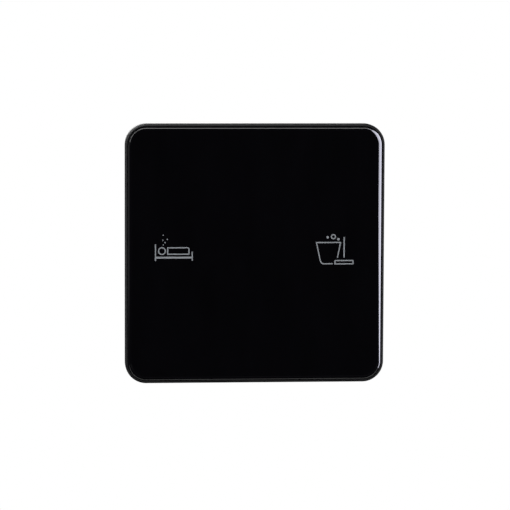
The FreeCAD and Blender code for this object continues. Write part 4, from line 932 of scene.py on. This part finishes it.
def screw_tree(slotted):
    """One screw along +Z, head face at the origin, placed at each seed point."""
    tree = Tree("slotted_screw" if slotted else "cross_screw")
    head_radius, head_height = tree.sizes("Head Radius", "Head Height")
    shank_radius, shank_length = tree.sizes("Shank Radius", "Shank Length")
    thread_pitch, thread_depth = tree.sizes("Thread Pitch", "Thread Depth")
    recess_width, recess_depth, recess_reach = tree.sizes(
        "Recess Width", "Recess Depth", "Recess Reach"
    )
    steps = tree.size("Steps", "NodeSocketInt")
    turn = tree.size("Turn", "NodeSocketRotation")

    def behind_head(part, gap):
        """A part moved along the screw, past its head by a gap."""
        return tree.moved(part, tree.vector(z=tree.maths("ADD", head_height, gap)))

    drum = tree.moved(tree.out(
        "GeometryNodeMeshCylinder", vertices=steps, side_segments=5, radius=head_radius,
        depth=head_height,
    ), tree.vector(z=tree.times(head_height, 0.5)))
    place = tree.out("GeometryNodeInputPosition")
    parts = tree.add("ShaderNodeSeparateXYZ", vector=place).outputs
    depth_share = tree.maths("DIVIDE", parts["Z"], head_height)
    crown = tree.maths("POWER", tree.maths("SUBTRACT", 1.0, depth_share), 3.0)
    crown_inset = -0.24
    shrink = tree.times(crown, crown_inset)
    inward = tree.vector(x=tree.times(parts["X"], shrink), y=tree.times(parts["Y"], shrink))
    head = tree.out("GeometryNodeSetPosition", geometry=drum, offset=inward)

    arm = tree.out("GeometryNodeMeshCube", size=tree.vector(
        x=tree.times(recess_reach, 2.0), y=recess_width, z=tree.times(recess_depth, 2.0)
    ))
    cut = tree.add(
        "GeometryNodeMeshBoolean", {"operation": "DIFFERENCE", "solver": "EXACT"}, mesh_1=head
    )
    tree.put(arm, cut.inputs["Mesh 2"])
    if not slotted:
        tree.put(tree.moved(arm, rotation=(0, 0, QUARTER)), cut.inputs["Mesh 2"])

    core_radius = tree.maths("SUBTRACT", shank_radius, thread_depth)
    core = behind_head(tree.out(
        "GeometryNodeMeshCylinder", vertices=steps, radius=core_radius, depth=shank_length
    ), tree.times(shank_length, 0.5))
    thread_start, thread_share = 0.02, 0.94
    length = tree.times(shank_length, thread_share)
    rotations = tree.maths("DIVIDE", length, thread_pitch)
    spiral = tree.coil(rotations, core_radius, length, resolution=24)
    thread = tree.swept(spiral, thread_depth, resolution=3)
    thread = behind_head(thread, tree.times(shank_length, thread_start))
    screw = tree.joined(cut.outputs["Mesh"], core, thread)
    return tree.finish(tree.placed(screw, turn))


def corner_points(across, up, deep):
    """Four points at the corners of a rectangle."""
    return [(across * x, deep, up * z) for x in (-1, 1) for z in (-1, 1)]


def screw_set(name, tree, node, turn, points, **sizes):
    """Screws at points, turned about X so that they point into their pieces."""
    low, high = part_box(node)
    sizes["shank_length"] = high.y - low.y - sizes["head_height"]
    values = {size.replace("_", " ").title(): value for size, value in sizes.items()}
    values["Turn"] = (turn, 0.0, 0.0)
    seed = mesh_from(name + "_points", points)
    screws = grown(name, seed, tree, FINISHES["screw_steel"], values)
    shade_by_angle(screws.data, degrees=40)
    dress(screws, node)


class TOUCHPANEL_OT_screws(bpy.types.Operator):
    """Make the threaded screws of the cover, the plate and the terminals"""

    bl_idname = "touchpanel.screws"
    bl_label = "Screws"

    def execute(self, context):
        settings = context.scene.panel_screws
        pitch, width, steps = settings.thread_pitch, settings.recess_width, settings.steps
        cross, slotted = screw_tree(slotted=False), screw_tree(slotted=True)
        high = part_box("cover_screws")[1]
        head = 1.8 * MM
        screw_set(
            "cover_screw_set", cross, "cover_screws", QUARTER,
            corner_points(high.x - head, high.z - head, high.y),
            head_radius=head, head_height=0.8 * MM, shank_radius=1.0 * MM, thread_pitch=pitch,
            thread_depth=0.16 * MM, recess_width=width, recess_depth=0.55 * MM,
            recess_reach=1.05 * MM, steps=steps,
        )
        low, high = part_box("housing_screws")
        head = 2.2 * MM
        screw_set(
            "plate_screw_set", cross, "housing_screws", -QUARTER,
            corner_points(high.x - head, high.z - head, low.y),
            head_radius=head, head_height=0.9 * MM, shank_radius=1.25 * MM, thread_pitch=pitch,
            thread_depth=0.2 * MM, recess_width=width * 1.15, recess_depth=0.65 * MM,
            recess_reach=1.3 * MM, steps=steps,
        )
        for way in WAYS:
            node = f"terminal_screw_{way}"
            low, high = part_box(node)
            head = (high.x - low.x) / 2
            screw_set(
                f"slotted_screw_{way}", slotted, node, QUARTER,
                [((low.x + high.x) / 2, high.y, (low.z + high.z) / 2)],
                head_radius=head, head_height=1.7 * MM, shank_radius=1.5 * MM,
                thread_pitch=0.5 * MM, thread_depth=0.14 * MM, recess_width=0.8 * MM,
                recess_depth=0.8 * MM, recess_reach=head * 1.2, steps=steps,
            )
        return {"FINISHED"}


# Springs

def spring_tree():
    """Two round-wire springs with closed ends, one at each seed point."""
    tree = Tree("touch_spring")
    turns, radius, height, wire = tree.sizes("Turns", "Radius", "Height", "Wire")
    spiral = tree.coil(turns, radius, height, resolution=48)
    spring = tree.swept(spiral, tree.times(wire, 0.5), resolution=14)
    return tree.finish(tree.placed(spring, (QUARTER, 0.0, 0.0)))


class TOUCHPANEL_OT_springs(bpy.types.Operator):
    """Wind the two touch springs"""

    bl_idname = "touchpanel.springs"
    bl_label = "Touch springs"

    def execute(self, context):
        settings = context.scene.panel_springs
        middle = (SPRING_LOW + SPRING_HIGH) / 2
        start = SPRING_HIGH.y - settings.wire / 2
        seed = mesh_from("spring_points", [
            (side * middle.x, start, middle.z) for side in (-1, 1)
        ])
        springs = grown("spring_pair", seed, spring_tree(), FINISHES["spring_steel"], {
            "Height": SPRING_HIGH.y - SPRING_LOW.y - settings.wire,
            "Radius": settings.radius, "Wire": settings.wire, "Turns": settings.turns,
        })
        shade_by_angle(springs.data, degrees=40)
        dress(springs, "touch_spring_left", "touch_spring_right")
        return {"FINISHED"}


# Carried-over nodes

class TOUCHPANEL_OT_finishes(bpy.types.Operator):
    """Give each carried-over node its finish"""

    bl_idname = "touchpanel.finishes"
    bl_label = "Finishes"

    def execute(self, context):
        for name, node in frame["nodes"].items():
            if not node.hide_render:
                paint(node, FINISHES[SLOTS[name]])
        return {"FINISHED"}


# Studio

def add_lamp(name, place, width, height, power, colour, receivers):
    """A soft rectangular lamp aimed at the panel, without the pieces that its receivers skip."""
    lamp = add_object(name, configured(
        bpy.data.lights.new(name, "AREA"), shape="RECTANGLE", size=width, size_y=height,
        energy=power, color=colour,
    ))
    lamp.rotation_euler = Vector(place).to_track_quat("Z", "Y").to_euler()
    lamp.location = place
    lamp.light_linking.receiver_collection = receivers


def flat_face(name, corners):
    """One flat face."""
    return mesh_from(name, corners, [tuple(range(len(corners)))])


def add_card(name, corners, strength, receivers, colour=WHITE):
    """A bright card that only the gloss of its receivers mirrors."""
    card = flat_face(name, corners)
    glow = bpy.data.materials.new(name)
    glow.use_nodes = True
    tree = glow.node_tree
    tree.nodes.remove(tree.nodes["Principled BSDF"])
    nodes = Nodes(tree)
    light = nodes.out("ShaderNodeEmission", color=colour, strength=strength)
    nodes.fill(tree.nodes["Material Output"], surface=light)
    paint(card, glow)
    configured(
        card, visible_camera=False, visible_diffuse=False, visible_transmission=False,
        visible_shadow=False,
    )
    card.light_linking.receiver_collection = receivers


def flat_corners(half_width, near, far, up):
    """The corners of a level rectangle."""
    return [(-half_width, near, up), (half_width, near, up),
            (half_width, far, up), (-half_width, far, up)]


def collected(name, *pieces):
    """A collection of pieces for light linking."""
    collection = bpy.data.collections.new(name)
    for piece in pieces:
        collection.objects.link(bpy.data.objects[piece])
    return collection


def white_world(ambient):
    """White for the camera, and a darker room with a pale rear half for reflections."""
    world = bpy.data.worlds.new("studio_room")
    world.use_nodes = True
    room = Nodes(world.node_tree)
    place = room.add("ShaderNodeTexCoord").outputs["Generated"]
    parts = room.add("ShaderNodeSeparateXYZ", vector=place).outputs
    path = room.add("ShaderNodeLightPath").outputs
    low_down = room.remap(parts["Z"], 1.0, 0.2, 0.2, 0.7, "SMOOTHSTEP")
    beside = room.times(room.remap(parts["Y"], 0.02, 0.2, -0.5, 0.05, "SMOOTHSTEP"), low_down)
    behind = room.remap(parts["Y"], 0.0, 0.14, 0.35, 0.95, "SMOOTHSTEP")
    mirrored = room.maths("ADD", beside, behind)
    seen = room.mix(path["Is Glossy Ray"], ambient, mirrored, "FLOAT")
    seen = room.mix(path["Is Transmission Ray"], seen, 1.0, "FLOAT")
    seen = room.mix(path["Is Camera Ray"], seen, 1.0, "FLOAT")
    room.fill(world.node_tree.nodes["Background"], color=WHITE, strength=seen)
    bpy.context.scene.world = world


def floor_finish():
    """A pale floor that keeps the shadow near the panel and is white further off."""
    finish = Finish("pale_floor", roughness=0.9)
    path = finish.add("ShaderNodeLightPath").outputs
    depth = finish.axis("Y")
    length = finish.add("ShaderNodeVectorMath", {"operation": "LENGTH"})
    finish.put(finish.place, length.inputs[0])
    length = length.outputs["Value"]

    def glow(strength):
        """Light of the floor's own, so that no lamp has to brighten it."""
        return finish.out("ShaderNodeEmission", strength=strength)

    def between(factor, first, second):
        """One shader faded into another."""
        made = finish.add("ShaderNodeMixShader", fac=factor)
        finish.put(first, made.inputs[1])
        finish.put(second, made.inputs[2])
        return made.outputs["Shader"]

    pale = finish.mottled(finish.noise(40 * MM), (0.80, 0.80, 0.80), (0.84, 0.84, 0.84))
    finish.fill(finish.shader, base_color=pale)
    far = finish.remap(length, 0.0, 1.0, 0.26, 0.38)
    seen = between(far, finish.shader.outputs["BSDF"], glow(1.0))
    under = finish.add("ShaderNodeNewGeometry").outputs["Backfacing"]
    seen = between(under, seen, finish.out("ShaderNodeBsdfTransparent"))

    behind = finish.remap(depth, 0.01, 0.08, 0.03, 0.12)
    near = finish.remap(length, 0.18, 0.0, 0.35, 0.75)
    ahead = finish.remap(depth, 1.0, 0.0, -0.3, -0.1)
    outer = finish.remap(length, 0.0, 0.3, 0.9, 1.4)
    beside = finish.remap(depth, 0.0, 1.0, -0.15, 0.35)
    mirrored = finish.maths("ADD", behind, finish.times(near, ahead))
    mirrored = finish.maths("ADD", mirrored, finish.times(outer, beside))
    unseen = between(path["Is Diffuse Ray"], glow(mirrored), glow(0.3))
    whole = between(path["Is Camera Ray"], unseen, seen)
    finish.fill(finish.tree.nodes["Material Output"], surface=whole)
    return finish.material


def add_camera(settings):
    """The camera at the photograph's angle."""
    azimuth, elevation, roll = settings.azimuth, settings.elevation, settings.roll
    back = Vector((
        math.sin(azimuth) * math.cos(elevation),
        -math.cos(azimuth) * math.cos(elevation),
        math.sin(elevation),
    ))
    right = Vector((math.cos(azimuth), math.sin(azimuth), 0.0))
    up = back.cross(right)
    side = right * math.cos(roll) + up * math.sin(roll)
    top = up * math.cos(roll) - right * math.sin(roll)
    turn = Matrix((side, top, back)).transposed().to_4x4()
    aim = Vector((0.18, -7.5, -0.67)) * MM
    camera = add_object("photo_camera", configured(
        bpy.data.cameras.new("photo_camera"), lens=settings.lens, sensor_width=36.0,
        clip_start=0.02, clip_end=200.0,
    ))
    camera.matrix_world = Matrix.Translation(aim + back * settings.distance) @ turn
    bpy.context.scene.camera = camera


class TOUCHPANEL_OT_stage(bpy.types.Operator):
    """Set up the floor, the lamps, the cards, the world and the camera"""

    bl_idname = "touchpanel.stage"
    bl_label = "Stage"

    def execute(self, context):
        settings = context.scene.panel_studio
        ground, reach = settings.floor_depth, 6.0
        floor = flat_face("studio_floor", flat_corners(reach, -reach, reach, 0))
        floor.location = (0.0, 0.0, ground)
        paint(floor, floor_finish())

        skipped = collected("lamps_skip", "glass_sheet", "glass_edge")
        for member in skipped.collection_objects:
            member.light_linking.link_state = "EXCLUDE"
        for name, place, width, height, power, colour in (
            ("side_lamp", (0.85, -0.25, 0.10), 0.45, 0.8, settings.side_lamp, (0.97, 0.96, 1.0)),
            ("front_lamp", (-0.75, -0.85, 0.85), 1.2, 1.2, settings.front_lamp, WHITE),
            ("rear_lamp", (-0.5, 1.0, 0.8), 1.3, 1.3, settings.rear_lamp, WHITE),
        ):
            add_lamp(name, place, width, height, power, colour, skipped)

        mirrors = collected("mirror_edges", "glass_edge")
        beside, ceiling = 0.45, 0.6
        cool = (0.93, 0.93, 1.09)
        outline = (
            (-0.45, 0.0), (-0.283, -0.025), (-0.182, -0.045), (-0.096, -0.066),
            (-0.02, -0.089), (0.05, -0.099), (0.07, -0.155), (0.40, -0.155),
            (0.40, 0.05), (0.26, 0.24), (0.09, 0.45), (-0.01, ceiling), (-0.25, ceiling),
            (-0.3, 0.3),
        )
        add_card(
            "right_softbox", [(beside, deep, up) for deep, up in outline], settings.softbox,
            mirrors, cool,
        )
        for name, up, share, outline in (
            ("softbox_tip", ceiling, 0.6, (
                (0.45, -0.22), (0.45, -0.01), (0.34, -0.03), (0.17, -0.06), (0.17, -0.08),
                (0.34, -0.15),
            )),
            ("softbox_foot", ground + 6 * MM, 0.75, (
                (0.45, 0.06), (0.45, 0.3), (0.26, 0.2), (0.26, 0.03),
            )),
        ):
            corners = [(across, deep, up) for across, deep in outline]
            add_card(name, corners, settings.softbox * share, mirrors, cool)
        overhead = flat_corners(beside, -0.115, -0.033, ceiling)
        add_card("overhead_strip", overhead, settings.top_strip, mirrors)
        low_strip = flat_corners(beside, 0.028, 0.057, ground + 5 * MM)
        add_card("floor_strip", low_strip, settings.floor_strip, mirrors)
        add_card("left_strip", [
            (-0.5, -0.1, 0.1), (-0.5, -0.05, 0.1), (-beside, -0.033, ceiling),
            (-beside, -0.115, ceiling),
        ], settings.top_strip, mirrors)

        white_world(settings.ambient)
        add_camera(settings)
        context.scene.view_settings.view_transform = "Standard"
        return {"FINISHED"}


class TOUCHPANEL_PT_main(bpy.types.Panel):
    """Lists the panel's pieces and their sizes"""

    bl_idname = "TOUCHPANEL_PT_main"
    bl_label = "Touch panel"
    bl_space_type = "VIEW_3D"
    bl_region_type = "UI"
    bl_category = "Touch panel"

    def draw(self, context):
        column = self.layout.column()
        for operator in OPERATORS:
            column.operator(operator.bl_idname)
        for holder, group in SETTINGS:
            box = self.layout.box()
            box.label(text=group.__doc__.strip("."))
            settings = getattr(context.scene, holder)
            for name in group.__annotations__:
                box.prop(settings, name)


SETTINGS = (
    ("panel_glass", GlassSizes),
    ("panel_signs", SignSizes),
    ("panel_mouldings", MouldingSizes),
    ("panel_screws", ScrewSizes),
    ("panel_springs", SpringSizes),
    ("panel_studio", StudioSizes),
)
OPERATORS = (
    TOUCHPANEL_OT_glass,
    TOUCHPANEL_OT_signs,
    TOUCHPANEL_OT_mouldings,
    TOUCHPANEL_OT_stampings,
    TOUCHPANEL_OT_screws,
    TOUCHPANEL_OT_springs,
    TOUCHPANEL_OT_finishes,
    TOUCHPANEL_OT_stage,
)


def register():
    """Register the classes and their settings."""
    for holder, group in SETTINGS:
        bpy.utils.register_class(group)
        setattr(bpy.types.Scene, holder, PointerProperty(type=group))
    for operator in OPERATORS:
        bpy.utils.register_class(operator)
    bpy.utils.register_class(TOUCHPANEL_PT_main)


def unregister():
    """Take the classes and their settings away again."""
    bpy.utils.unregister_class(TOUCHPANEL_PT_main)
    for operator in reversed(OPERATORS):
        bpy.utils.unregister_class(operator)
    for holder, group in reversed(SETTINGS):
        delattr(bpy.types.Scene, holder)
        bpy.utils.unregister_class(group)


def main():
    """Build the whole panel."""
    register()
    FINISHES.update(all_finishes(bpy.context.scene))
    for operator in OPERATORS:
        result = getattr(bpy.ops.touchpanel, operator.bl_idname.split(".")[1])()
        if result != {"FINISHED"}:
            raise RuntimeError(f"{operator.bl_label} didn't finish")


if __name__ == "__main__":
    main()
